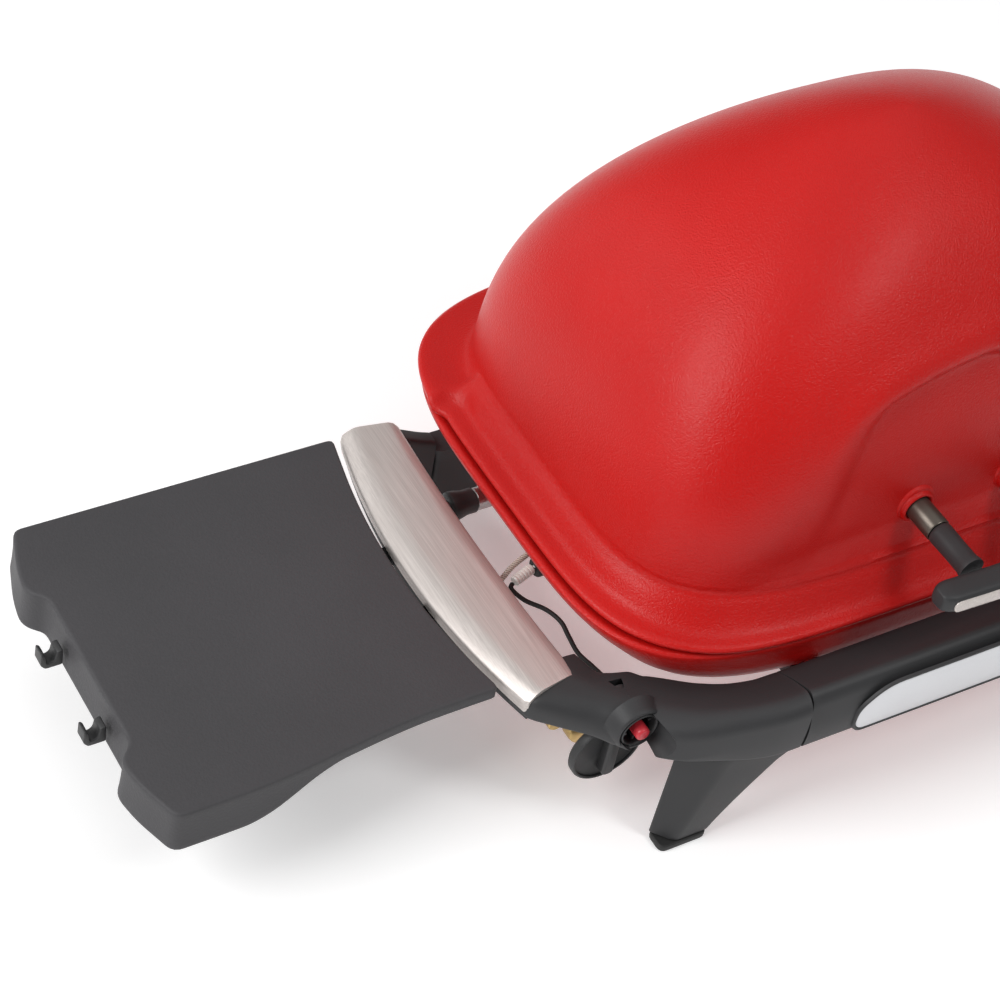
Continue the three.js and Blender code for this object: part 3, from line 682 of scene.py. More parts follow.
@dataclass
class Lid(SubAssembly):
    """The domed lid with its brow, ledge, hinge ears and handle."""

    body: str = "lid"
    plan: Oblong = field(default_factory=Oblong)
    recess: float = 9.0
    wall: float = 4.0
    # The lid's skirt as share of the plan, height at the front and sides, height at the back.
    skirt: tuple = (
        (0.8735, 157.5, 157.5), (0.8745, 155.2, 153.2), (0.8775, 153.2, 149.2),
        (0.8830, 151.8, 146.4), (0.8900, 150.6, 144.5), (0.8985, 148.6, 143.3),
        (0.9140, 144.6, 142.3), (0.9340, 140.2, 141.7), (0.9520, 137.0, 141.4),
        (0.9650, 135.9, 141.3), (0.9800, 135.3, 141.1), (0.9920, 134.7, 140.6),
        (0.9985, 133.6, 139.6), (1.0000, 132.2, 138.0), (0.9985, 130.8, 136.4),
        (0.9930, 130.1, 135.6), (0.9820, 130.2, 135.6), (0.9400, 132.0, 136.4),
        (0.9000, 140.0, 138.0), (0.8700, 146.0, 141.0))
    hinge: tuple = (92.0, 185.0, 128.0)
    stem_x: float = 37.0
    handle_y: float = -200.0
    handle_z: float = 184.0

    def brow_height(self, x: Points) -> Points:
        """The height of the arch that bounds the recessed front, over x."""
        marks = [(0, 281), (40, 276), (70, 268.5), (95, 258), (112, 240), (130, 219),
                 (146, 196), (161, 173), (176, 146), (190, 118), (260, -20)]
        fine = np.arange(-60, 321.0)
        height = np.interp(np.abs(fine), *zip(*marks))
        bell = np.exp(-0.5 * (np.arange(-12, 13) / 4.5) ** 2)
        soft = np.convolve(height, bell / bell.sum(), "same")
        return np.interp(np.abs(x), fine[20:-20], soft[20:-20])

    def sculpt(self, p: Points) -> Points:
        """Sets the front face back under the brow and raises the crest above it."""
        p = p.copy()
        x, y, z = p.T
        above = z - self.brow_height(x)
        side = smooth(np.abs(x), 66, 124)
        width = mix(10.0, 88.0, side)
        inside = smooth(-above / width, -0.15, 1.0)
        front = smooth(-y, 30, 70)
        depth = mix(self.recess, self.recess * 0.6, side)
        p[:, 1] += depth * inside * smooth(z, 148, 176) * front
        crest = np.exp(-((above - 6) / 13.0) ** 2) * (1 - smooth(np.abs(x), 70, 120)) * front
        p[:, 1] -= 2.8 * crest
        p[:, 2] += 1.6 * crest
        corner = smooth(np.abs(x), 120, 175) * smooth(-y, 40, 110)
        bulge = np.exp(-((z - 205) / 42.0) ** 2) * corner
        p[:, 0] += np.sign(x) * 2.2 * bulge
        p[:, 1] -= 2.2 * bulge
        return p

    def shell(self) -> Shell:
        """The dome, its skirt and its inside."""
        plan = self.plan
        top = [0.004, 0.02] + list(np.linspace(0.045, plan.dome_share(332), 26))
        rings = [self.sculpt(plan.ring(s, plan.dome_height(s))) for s in top]
        rings += [self.sculpt(plan.ring(plan.dome_share(z), z)) for z in
                  np.concatenate([np.arange(329.5, 160, -2.6), [160.0]])]
        for share, low, back in self.skirt:
            ring = plan.ring(share, 0)
            ring[:, 2] = mix(low, back, smooth(ring[:, 1], 86, 97))
            drawn_in = smooth(share, 0.89, 0.96) * smooth(-ring[:, 1], -92, -78)
            side = smooth(np.abs(ring[:, 0]), 150, 225)
            ring[:, 0] -= np.sign(ring[:, 0]) * 7.5 * drawn_in * side
            rings.append(ring)
        for z in list(np.linspace(156, 325, 30)):
            ring = self.sculpt(plan.ring(plan.dome_share(z) - 0.018, z - self.wall * 0.5))
            rings.append(ring)
        for share in np.linspace(plan.dome_share(330) - 0.018, 0.02, 10):
            rings.append(plan.ring(share, plan.dome_height(share + 0.01) - self.wall))
        body = Shell().loft(rings)
        x, y, z = self.hinge
        for side in (-x, x):
            ear = rounded([(171, z + 6.5), (y - 4, z + 2.5), (y + 4, z + 2.5), (y + 4, z + 7),
                           (y - 2, z + 10), (171, z + 10.5)], 2)
            body.slab(ear, side - 7, side + 7, 0.8, lambda u, v, w: np.stack([w, u, v], 1))
            body.turn([(3.4, -7), (5.9, -7), (6.4, -6.5), (6.4, 6.5), (5.9, 7), (3.4, 7)],
                      (side, y, z), (1, 0, 0), 40, closed=True)
        return body

    def front_y(self, x: float, z: float) -> float:
        """Where the front face is, at a place across and a height."""
        plan = self.plan
        share = plan.dome_share(z)
        n = mix(plan.top_corner, plan.corner, min(1.0, (share / plan.foot) ** 2))
        inside = 1 - (abs(x) / (plan.half_x * share)) ** n
        flat = np.array([[x, plan.y - plan.half_y * share * inside ** (1 / n), z]])
        return float(self.sculpt(flat)[0, 1])

    def make(self) -> None:
        """Builds the lid and its handle."""
        body = self.shell()
        wall = self.front_y(self.stem_x, self.handle_z)
        boss = [(15.0, -7), (14.4, -1.4), (13.4, 0.4), (12.4, 0.8), (11.8, 0.9), (11.5, 1.8),
                (11.0, 3.0), (10.2, 3.6), (9.4, 3.5), (8.8, 3.0), (8.6, 2.2), (8.6, -7)]
        for side in (-1, 1):
            body.turn(boss, (side * self.stem_x, wall, self.handle_z), (0, -1, 0), 48,
                      closed=True)
        self.piece("lid_shape", body, RED_ENAMEL, "lid", sharp=50)
        self.make_handle(wall)

    def make_handle(self, wall: float) -> None:
        """Builds the ferrules, stems, bar and inlay."""
        x, z = -self.stem_x, self.handle_z
        ferrule_end = -157.0
        ferrule = Shell().turn([(0, 0), (7.6, 0), (8.1, 0.6), (8.1, wall - ferrule_end - 1.0),
                                (7.6, wall - ferrule_end - 0.3), (0, wall - ferrule_end - 0.3)],
                               (x, wall - 0.2, z), (0, -1, 0), 40)
        self.pair("handle_ferrule_SIDE", ferrule, BRONZE)
        reach = ferrule_end - 0.4 - (self.handle_y + 9.6)
        stem = Shell().turn([(0, 0), (7.1, 0), (7.7, 0.7), (7.9, 2.5), (7.6, reach * 0.5),
                             (7.7, reach - 5), (8.4, reach - 2), (8.4, reach), (0, reach)],
                            (x, ferrule_end - 0.4, z), (0, -1, 0), 40)
        self.pair("handle_stem_SIDE", stem, FRAME_BLACK)
        half, depth, height = 70.0, 18.0, 13.6
        across = np.concatenate([
            -half + 10 * (1 - np.cos(np.linspace(0, math.pi / 2, 9))), np.linspace(-54, 54, 25),
            half - 10 * (1 - np.cos(np.linspace(math.pi / 2, 0, 9)))])
        section = rounded([(-depth / 2, -height / 2), (depth / 2, -height / 2),
                           (depth / 2, height / 2), (-depth / 2, height / 2)], 5.0, 6)
        rings = []
        for at in across:
            edge = max(0.0, (abs(at) - (half - 10)) / 10)
            share = math.sqrt(max(0.0, 1 - edge ** 2))
            bow = -2.0 * (1 - (at / half) ** 2)
            rings.append(np.stack([
                np.full(len(section), at),
                self.handle_y - 1.0 + bow + section[:, 0] * mix(0.42, 1.0, share),
                z - 1 + section[:, 1] * mix(0.72, 1.0, share)], 1))
        self.piece("lid_handle_bar_shape", Shell().loft(rings), FRAME_BLACK, "lid_handle_bar")
        outline = rounded([(-64, -4.4), (64, -4.4), (64, 4.4), (-64, 4.4)], 4.2, 8)
        front = self.handle_y - 1.0 - depth / 2

        def inlay(u: Points, v: Points, w: Points) -> Points:
            """Bends the inlay along the front of the bar."""
            return np.stack([u, front - 2.0 * (1 - (u / half) ** 2) - w, z - 1.6 + v], 1)
        dense = even(np.vstack([outline, outline[:1]]), 140)[:-1]
        self.piece("lid_handle_insert_shape", Shell().slab(dense, -1.2, 0.5, 0.4, inlay),
                   TRIM_SILVER, "lid_handle_insert")


@dataclass
class Cookbox(SubAssembly):
    """The tub under the lid, with its hinge arms."""

    plan: Oblong = field(default_factory=Oblong)
    outer: tuple = ((0.9550, 126.6), (0.9700, 127.2), (0.9800, 127.0), (0.9850, 125.8),
                    (0.9845, 124.0), (0.9800, 121.0), (0.9700, 116.8), (0.9550, 111.5),
                    (0.9330, 105.5), (0.9030, 98.5), (0.8700, 91.8), (0.8250, 82.5),
                    (0.7900, 75.6), (0.7450, 69.0), (0.6800, 62.8), (0.5900, 57.6),
                    (0.4600, 53.6), (0.3000, 51.2), (0.1500, 50.2), (0.0850, 49.9),
                    (0.0800, 50.4))
    inner: tuple = ((0.0800, 53.2), (0.0900, 54.0), (0.3000, 55.2), (0.4700, 57.6),
                    (0.5900, 62.0), (0.6800, 67.6), (0.7400, 74.4), (0.7850, 84.0),
                    (0.8080, 94.0), (0.8170, 101.6), (0.8220, 103.6), (0.8280, 104.0),
                    (0.8780, 104.0), (0.8860, 104.6), (0.8930, 106.4), (0.9280, 115.0),
                    (0.9460, 122.0), (0.9500, 125.6))

    def make(self) -> None:
        """Builds the tub."""
        rings = [self.plan.ring(s, z, self.plan.corner) for s, z in self.outer + self.inner]
        for ring in rings[:len(self.outer)]:
            fuller = np.exp(-((ring[:, 2] - 99) / 14.0) ** 2) * smooth(-ring[:, 1], 84, 126)
            ring[:, 1] -= 10.5 * fuller
        tub = Shell().loft(rings, closed=True)
        for side in (-1, 1):
            for edge in (-1, 1):
                x = side * 92 + edge * 11.5
                arm = rounded([(163, 112), (186, 116), (191, 122), (191, 129), (163, 126)], 4)
                tub.slab(arm, x - 3.5, x + 3.5, 0.7, lambda u, v, w: np.stack([w, u, v], 1))
                tub.turn([(3.4, -3.5), (6.0, -3.5), (6.4, -3.1), (6.4, 3.1), (6.0, 3.5),
                          (3.4, 3.5)], (x, 185, 128), (1, 0, 0), 36, closed=True)
        self.piece("cookbox_shape", tub, RED_ENAMEL, "cookbox", sharp=50)
        pin = Shell().turn([(0, -18), (2.6, -18), (3.0, -17.5), (3.0, 17.5), (2.6, 18), (0, 18)],
                           (-92, 185, 128), (1, 0, 0), 28)
        self.pair("lid_hinge_pin_SIDE", pin, STEEL)


# ---------------------------------------------------------------- frame
@dataclass
class Frame(SubAssembly):
    """The moulded frame: arms, front panel, legs and rear beam."""

    seam_x: float = 141.0
    # The panel's section as distance outwards from the ridge, height under it and rounding.
    section: tuple = ((8.0, -43.0, 3), (9.6, -28.0, 8), (6.0, -6.0, 8), (0.0, 0.0, 6),
                      (-17.0, -8.5, 9), (-35.0, -20.0, 5), (-34.0, -30.0, 5), (-30.0, -41.0, 4))

    def arm(self) -> Shell:
        """The left front arm: flat like the handle where it starts, tall at the panel's seam."""
        ridge = curve_through([(-256, -101, 104.8), (-254, -110, 105.3),
                               (-252, -118.4, 105.6), (-248, -124, 105.6), (-240, -135, 106),
                               (-232, -147, 107), (-221, -158.5, 109), (-203, -174.5, 113),
                               (-183, -185.5, 118), (-160, -192.5, 122.5),
                               (-141.3, -195, 125.5)], 80)
        way = np.gradient(ridge, axis=0)
        rings = []
        for k, at in enumerate(ridge):
            t = max(0.0, (k / (len(ridge) - 1) - 0.1) / 0.9)
            square = np.array([way[k][1], -way[k][0]])
            square /= np.linalg.norm(square)
            turned = mix(np.array([-0.99, -0.14]), square, smooth(t, 0.0, 0.30))
            turned /= np.linalg.norm(turned)
            out = mix(mix(34.0, 18.5, smooth(t, -0.05, 0.24)), 9.6, smooth(t, 0.3, 0.75))
            low = mix(mix(21.0, 24.0, smooth(t, 0, 0.3)), 43.0, smooth(t, 0.25, 0.95))
            drop = mix(5.0, 28.0, smooth(t, -0.06, 0.55))
            edge = mix(0.62, 1.0, smooth(t, 0.05, 0.7))
            inner = mix(mix(17.0, 27.0, smooth(t, 0.0, 0.14)), 35.0, smooth(t, 0.1, 0.6))
            slope = mix(4.5, 20.0, smooth(t, 0.1, 1.0))
            bottom = min(low - 1.5, 41.0)
            outline = rounded([
                (out * mix(0.97, 0.84, smooth(t, 0, 1)), -low, 3), (out, -drop, 8),
                (out * edge, -mix(1.6, 6.0, smooth(t, 0, 0.5)), 8), (0.0, 0.0, 6),
                (-inner * 0.48, -slope * 0.4, 10), (-inner, -slope, 5),
                (-inner * 0.97, -slope - min(11.0, (bottom - slope) * 0.5), 5),
                (-inner * 0.86, -bottom, 4)], 4, 5)
            rings.append(np.column_stack([at[:2] + np.outer(outline[:, 0], turned),
                                          at[2] + outline[:, 1]]))
        return Shell().loft(rings)

    def panel_line(self, half: float, count: int) -> Points:
        """The panel's ridge between the two seams."""
        x = np.linspace(-half, half, count)
        lift = np.cos(x / self.seam_x * math.pi / 2) ** 0.9
        return np.stack([x, -195 - 6.0 * lift, 125.5 + 9.5 * lift], 1)

    def leg(self, top: Sequence, foot: Sequence, top_z: float) -> Shell:
        """A leg blade that narrows to its foot.

        Args:
            top: Its outline where it meets the frame.
            foot: Its outline on the ground, with as many corners.
            top_z: The height of its top.

        Returns:
            The blade.
        """
        rings = []
        high, low = rounded(top, 5, 5), rounded(foot, 4, 5)
        for k, t in enumerate(np.linspace(0, 1, 24)):
            z = mix(5.4, top_z, t)
            spread = t ** 1.12
            flat = low * (1 - spread) + high * spread
            flare = smooth(t, 0.8, 1.0) * 3.5
            centre = flat.mean(0)
            flat = centre + (flat - centre) * (1 + flare / 60)
            if k == 0:
                shrunk = centre + (flat - centre) * 0.93
                rings.append(flat_plan(*shrunk.T, np.full(len(flat), z)))
            rings.append(flat_plan(*flat.T, np.full(len(flat), z + (0.8 if k == 0 else 0))))
        return Shell().loft(rings)

    def pad(self, x: float, y: float) -> Shell:
        """A rubber pad under a leg."""
        outline = rounded([(x - 17, y - 8), (x + 17, y - 8), (x + 17, y + 8), (x - 17, y + 8)], 5)
        return Shell().slab(outline, 0.0, 5.0, 1.0, flat_plan)

    def make(self) -> None:
        """Builds the frame."""
        arm = self.arm()
        boss = [(13.2, -12), (18.0, -12), (16.8, -7), (16.2, -3.4), (15.8, -1.5), (15.2, -0.6),
                (14.5, -0.3), (13.8, -0.6), (13.4, -2.0), (13.2, -12)]
        collar = Shell().turn([(0, -12), *boss[1:-1], (0, -2.0)], IGNITER, (0, -1, 0), 64)
        bore = Shell().turn([(0, -34), (9.8, -34), (9.8, -12), (13.2, -11.4), (13.2, 30), (0, 30)],
                            IGNITER, (0, -1, 0), 64)
        self.piece("front_arm_left_shape", arm.carved(collar, bore), FRAME_BLACK,
                   "front_arm_left", sharp=55)
        self.piece("front_arm_right_shape", arm.mirrored(), FRAME_BLACK, "front_arm_right",
                   sharp=55)
        section = rounded([(-a, b, r) for a, b, r in self.section], 4, 5)
        panel = Shell().sweep(section, self.panel_line(self.seam_x - 1.3, 61))
        self.piece("front_panel_shape", panel, FRAME_BLACK, "front_panel", sharp=55)
        self.make_plate()
        self.pair("front_leg_SIDE", self.leg(
            [(-210, -171), (-184, -191.5), (-141, -199.5), (-141, -171)],
            [(-216, -174), (-204, -188), (-178, -188), (-180, -172)], 82.0), FRAME_BLACK, 50)
        self.pair("rear_leg_SIDE", self.leg(
            [(-212, 113), (-166, 113), (-166, 131), (-212, 131)],
            [(-210, 114), (-176, 112), (-176, 131), (-210, 131)], 62.0), FRAME_BLACK, 50)
        self.pair("front_foot_pad_SIDE", self.pad(-197, -181), RUBBER)
        self.pair("rear_foot_pad_SIDE", self.pad(-190, 122), RUBBER)
        self.make_rear()

    def make_plate(self) -> None:
        """Builds the blank silver plate on the panel and the lip under it."""
        line = self.panel_line(self.seam_x, 141)
        outline = rounded([(-103, -17.5, 6), (102, -17.5, 6), (107, -12, 6), (107, 14, 7),
                           (102, 17.5, 6), (-92, 17.5, 14), (-107, 2, 12), (-107, -12, 6)], 6, 8)
        dense = even(np.vstack([outline, outline[:1]]), 220)[:-1]

        def on_panel(u: Points, v: Points, w: Points) -> Points:
            """Lays the plate on the panel's leaning face."""
            y = np.interp(u, line[:, 0], line[:, 1]) - 9.3
            z = np.interp(u, line[:, 0], line[:, 2]) - 24.5
            return np.stack([u, y - w - v * 0.03, z + v], 1)
        plate = Shell().slab(dense, -0.8, 1.0, 0.5, on_panel)
        self.piece("badge_plate_shape", plate, PLATE_SILVER, "badge_plate")
        rim = Shell()
        rings = []
        for offset, height in ((-2.6, -0.6), (-2.2, 1.0), (-1.2, 1.4), (-0.3, 1.0), (-0.2, -0.6)):
            flat = inset(dense, offset)
            rings.append(on_panel(flat[:, 0], flat[:, 1], np.full(len(flat), height)))
        rim.loft(rings, closed=True)
        self.piece("badge_plate_rim", rim, FRAME_BLACK)

    def make_rear(self) -> None:
        """Builds the rear arms, the rear rail and the blocks that carry the cookbox."""
        path = curve_through([(-264, 121, 88), (-252, 121.5, 86), (-238, 122, 80),
                              (-222, 122, 72), (-212.6, 122, 68)], 30)
        section = rounded([(-6.5, -22), (6.5, -22), (6.5, 0), (-6.5, 0)], 3.2, 5)
        arm = Shell().sweep(section, path, lambda t: (1.0, mix(0.75, 1.75, smooth(t, 0, 0.9))))
        self.pair("rear_arm_SIDE", arm, FRAME_BLACK)
        line = curve_through([(-165.5, 122, 61), (-90, 122, 56), (0, 122, 53), (90, 122, 56),
                              (165.5, 122, 61)], 50)
        rail = rounded([(-7.5, -26), (7.5, -26), (7.5, 0), (-7.5, 0)], 3.5, 5)
        self.piece("rear_rail_shape", Shell().sweep(rail, line), FRAME_BLACK, "rear_rail")
        block = rounded([(-174, 76), (-140, 76), (-134, 81), (-143, 88), (-174, 88)], 3)
        support = Shell().slab(block, -114, -94, 1.2, lambda u, v, w: np.stack([w, u, v], 1))
        self.pair("cookbox_support_SIDE", support, FRAME_BLACK)


@dataclass
class EndHandle(SubAssembly):
    """The silver handle at each end and the core that carries the table."""

    x: float = -268.0
    bow: float = 15.5
    half: float = 114.0
    widen: float = 12.0

    def line(self, z: float, y: Points, bow: float) -> Points:
        """A middle line at given places along it, bowed outwards."""
        return np.stack([self.x - bow * (1 - (y / self.half) ** 2), y,
                         np.full(len(y), z)], 1)

    def make(self) -> None:
        """Builds both handles."""
        section = rounded([(-17.8, -17.6, 2), (17.8, -17.6, 2), (19.8, -7.0, 3), (17.6, -4.6, 3),
                           (11.5, 0.0, 4), (-13.5, 0.0, 5), (-18.6, -2.6, 3), (-19.9, -7.0, 3)],
                          3, 5)
        y = np.linspace(-self.half - 4.0, self.half - 0.3, 81)
        path = self.line(106.0, y, self.bow - self.widen / 2)

        def size(t: float) -> tuple[float, float]:
            """Rounds the ends off and widens the middle inwards."""
            edge = min(t, 1 - t) * 2 * self.half
            share = math.sqrt(max(0.0, 1 - max(0.0, 1 - edge / 3.0) ** 2))
            wide = 1 + self.widen / 40 * (1 - (2 * t - 1) ** 2)
            return mix(0.93, 1.0, share) * wide, mix(0.90, 1.0, share)
        self.pair("handle_trim_SIDE", Shell().sweep(section, path, size), TRIM_SILVER)
        core = rounded([(-14.8, -4), (14.8, -4), (14.8, 4), (-14.8, 4)], 2, 4)
        along = np.linspace(-self.half, self.half, 61)
        body = Shell().sweep(core, self.line(83.6, along, self.bow))
        for side in (-PIN_Y, PIN_Y):
            lug = rounded([(-314.5, 81), (-292, 81), (-292, 86.4), (-308.6, 86.4), (-308.6, 94.5),
                           (-314.5, 94.5)], 1.5, 3)
            body.slab(lug, side - 6, side + 6, 0.6, lambda u, v, w: np.stack([u, w, v], 1))
            body.turn([(2.5, -6), (3.7, -6), (4.0, -5.7), (4.0, 5.7), (3.7, 6), (2.5, 6)],
                      (FOLD_X, side, FOLD_Z), (0, 1, 0), 28, closed=True)
        self.pair("handle_core_SIDE", body, FRAME_BLACK)
        for end, y in (("front", -PIN_Y), ("rear", PIN_Y)):
            pin = Shell().turn([(0, -16), (1.9, -16), (2.2, -15.7), (2.2, 15.7), (1.9, 16),
                                (0, 16)], (FOLD_X, y, FOLD_Z), (0, 1, 0), 20)
            self.pair(f"table_pin_SIDE_{end}", pin, STEEL)


# ---------------------------------------------------------------- side tables
@dataclass
class SideTable(SubAssembly):
    """One side table with its two tool hooks; the left one is drawn, the right one mirrored."""

    side: str = "left"
    inner_x: float = -292.0
    outer_x: float = -506.0
    top_z: float = 100.0
    bow: float = 15.5
    notch: float = 62.0

    def front_y(self, x: float) -> float:
        """The front edge, which draws in towards the handle."""
        return -mix(104.0, 116.0, float(smooth(-x, 330, 470)))

    def plan(self) -> Points:
        """The table's outline, counter-clockwise, with rounded corners."""
        corners: list[tuple] = []
        bulge, depth, x = 14.0, 11.0, self.outer_x
        for k in range(13):
            y = mix(self.front_y(self.inner_x), 117.0, k / 12)
            inner = self.inner_x - self.bow * (1 - min(1.0, (y / 114) ** 2))
            corners.append((inner, y, 5 if k in (0, 12) else 12))
        corners.append((x - 1, 117.0, 5))
        for y in (88, self.notch + 6):
            corners.append((x - bulge * (1 - ((y - self.notch) / 54) ** 2), y, 14))
        for y in (self.notch - 4, 24, -24, -self.notch + 4):
            corners.append((x - bulge + depth, y, 5))
        for y in (-self.notch - 6, -88):
            corners.append((x - bulge * (1 - ((-y - self.notch) / 54) ** 2), y, 14))
        for k in range(9):
            at = mix(x - 1, self.inner_x, k / 8)
            if k < 8:
                corners.append((at, self.front_y(at), 5 if k == 0 else 14))
        outline = rounded(corners, 6, 5)
        return even(np.vstack([outline, outline[:1]]), 361)[:-1]

    def skirt_z(self, x: Points) -> Points:
        """The skirt's lower edge: an S from the shallow inner end to the deep free end."""
        return mix(91.8, 70.0, smooth(-x, 396, 466))

    def make(self) -> None:
        """Builds the table and its hooks."""
        plan = self.plan()
        levels = [(2.6, 0.0), (1.7, 0.12), (0.9, 0.5), (0.35, 1.1), (0.1, 1.9), (0.0, 4.2)]
        rings = []
        for distance, drop in levels:
            flat = inset(plan, distance)
            rings.append(flat_plan(*flat.T, np.full(len(flat), self.top_z - drop)))
        low = self.skirt_z(plan[:, 0])
        for distance, share, lift in (
                (0.0, 0.12, 0), (-0.1, 0.3, 0), (-0.4, 0.5, 0), (-0.8, 0.7, 0), (-1.3, 0.88, 0),
                (-1.5, 0.97, 0), (-1.1, 1.0, 0.2), (0.0, 1.0, 0.0), (1.6, 1.0, 0.2),
                (2.4, 0.96, 0.4), (2.6, 0.7, 0), (2.8, 0.4, 0), (3.0, 0.1, 0)):
            deep = smooth(95.8 - low, 6, 24)
            lean = -distance * (deep if distance < 0 else 1)
            flat = plan + (inset(plan, 1.0) - plan) * -lean[:, None] if np.ndim(lean) \
                else inset(plan, distance)
            z = mix(95.8, low, share) + lift
            rings.append(np.column_stack([flat, z]))
        flat = inset(plan, 3.2)
        rings.append(flat_plan(*flat.T, np.full(len(flat), 95.2)))
        table = Shell().loft(rings)
        for y in (-PIN_Y, PIN_Y):
            for end in (-1, 1):
                start = y + end * 6.7
                table.turn([(2.5, 0), (3.7, 0), (4.0, 0.3), (4.0, 9.8), (3.7, 10.1), (2.5, 10.1)],
                           (FOLD_X, start, FOLD_Z), (0, end, 0), 24, closed=True)
        table.turn([(0, 0), (3.2, 0), (3.6, 3), (3.4, 8), (2.2, 10.4), (0, 11)],
                   (-366, -97, 93), (0, 0, -1), 24)
        self.piece(f"side_table_{self.side}_shape", self.sided(table), TABLE_GREY,
                   f"side_table_{self.side}", sharp=60)
        for end, y in (("front", -31.0), ("rear", 31.0)):
            x, z = -514.6, 92.0
            hook = rounded([(x + 2, z - 2), (x - 2, z - 3), (x - 3, z - 9), (x - 5, z - 11),
                            (x - 8, z - 11), (x - 9, z - 3), (x - 11.6, z - 1),
                            (x - 12, z - 11), (x - 9, z - 15), (x + 2, z - 15)], 1.6, 4)
            shell = Shell().slab(hook, y - 4.6, y + 4.6, 0.7,
                                 lambda u, v, w: np.stack([u, w, v], 1))
            self.piece(f"tool_hook_{self.side}_{end}_shape", self.sided(shell), KNOB_BLACK,
                       f"tool_hook_{self.side}_{end}")

    def sided(self, shell: Shell) -> Shell:
        """The shell on this table's side."""
        return shell if self.side == "left" else shell.mirrored()


# ---------------------------------------------------------------- gas, ignition and cooking
@dataclass
class GasLine(SubAssembly):
    """The burner, its mixing cone, the pipe, the valve and the inlet."""

    def make(self) -> None:
        """Builds the gas line."""
        turns = np.radians(150 - np.linspace(0, 300, 40))
        n = 3.0
        loop = np.stack([112 * np.sign(np.cos(turns)) * np.abs(np.cos(turns)) ** (2 / n),
                         6 + 66 * np.sign(np.sin(turns)) * np.abs(np.sin(turns)) ** (2 / n),
                         np.full(40, 80.0)], 1)
        path = curve_through([(-223, 52, 80), (-195, 52, 80), (-165, 52, 80)]
                             + loop[::3].tolist(), 150)
        burner = Shell().pipe(path, 7.5, 28, 0.1)
        for k in range(40, 146, 4):
            burner.turn([(1.2, 0), (2.1, 0), (2.1, 0.5), (1.2, 0.5)], path[k] + [0, 0, 7.3],
                        (0, 0, 1), 10, closed=True)
        self.piece("burner_tube_shape", burner, STEEL, "burner_tube")
        cone = Shell().turn([(4.6, 0), (4.9, -0.6), (8.0, -0.6), (9.6, 0.4), (10.0, 2.0),
                             (9.4, 6.0), (8.2, 11.0), (8.2, 17.4), (4.6, 17.4)],
                            (-241, 52, 80), (1, 0, 0), 40, closed=True)
        self.piece("burner_venturi_shape", cone, KNOB_BLACK, "burner_venturi")
        pipe = curve_through([(-252, -89.4, 55), (-254, -60, 60), (-259, -5, 70), (-259, 28, 76),
                              (-253, 47, 80), (-243, 52, 80), (-230, 52, 80)], 60)
        self.piece("gas_pipe_shape", Shell().pipe(pipe, 3.8, 20, 0.1), ALUMINIUM, "gas_pipe")
        x, z = -233.0, 48.5
        valve = Shell().turn([(0, 0), (10.5, 0), (12.4, 1), (12.9, 3), (12.9, 9), (11.6, 10),
                              (11.6, 12), (12.9, 13), (12.9, 22), (12.0, 24), (0, 24)],
                             (x, -119, z), (0, 1, 0), 40)
        valve.turn([(0, 0), (5.2, 0), (5.9, 0.8), (5.9, 6), (5.1, 7), (5.1, 15), (5.9, 16),
                    (5.9, 21.4), (0, 21.4)], (-252, -112, 55), (0, 1, 0), 28)
        bridge = rounded([(-252, 49.5), (-238, 49.5), (-238, 59), (-252, 59)], 2)
        valve.slab(bridge, -110.5, -99.5, 0.8, lambda u, v, w: np.stack([u, w, v], 1))
        self.piece("gas_valve_shape", valve, BRASS, "gas_valve")
        inlet = Shell().turn([(3.2, 21.5), (5.4, 21.5), (6.0, 20.8), (6.0, 14), (4.9, 13.2),
                              (4.9, 5.5), (5.9, 4.6), (5.9, 0.2), (3.2, 0.2)],
                             (x, -94.6, z), (0, 1, 0), 32, closed=True)
        self.piece("gas_inlet_shape", inlet, BRASS, "gas_inlet")


@dataclass
class Knob(SubAssembly):
    """The burner's control and its stem."""

    body: str = "knob"

    def make(self) -> None:
        """Builds the control."""
        (x, y, z), r = KNOB, 25.0
        disc = Shell().turn([(0, 0), (12.4, 0), (13.0, 0.6), (13.2, 3.4), (17, 4.4),
                             (r - 1.2, 5.6), (r, 7.0), (r, 10.6), (r - 0.5, 11.7), (r - 1.4, 12.0),
                             (r - 2.2, 11.6), (r - 2.6, 10.4), (r - 3.4, 10.0), (0, 10.3)],
                            (x, y, z), (0, -1, 0), 72)
        grip = rounded([(-4.2, -17.5), (4.2, -17.5), (4.2, 17.5), (-4.2, 17.5)], 3.6, 6)
        disc.slab(grip, 9.0, 17.0, 1.6,
                  lambda u, v, w: np.stack([x + u, y - w, z + v], 1))
        mark = rounded([(-0.9, 10), (0.9, 10), (0.9, 16), (-0.9, 16)], 0.7, 3)
        disc.slab(mark, 16.6, 17.0, 0.1, lambda u, v, w: np.stack([x + u, y - w, z + v], 1))
        self.piece("burner_control_knob_shape", disc, KNOB_BLACK, "burner_control_knob")
        stem = Shell().turn([(0, 0), (3.6, 0), (4.0, 0.5), (4.0, 10.7), (3.6, 11.2), (0, 11.2)],
                            (x, y + 11.6, z), (0, -1, 0), 28)
        self.piece("valve_stem_shape", stem, STEEL, "valve_stem")


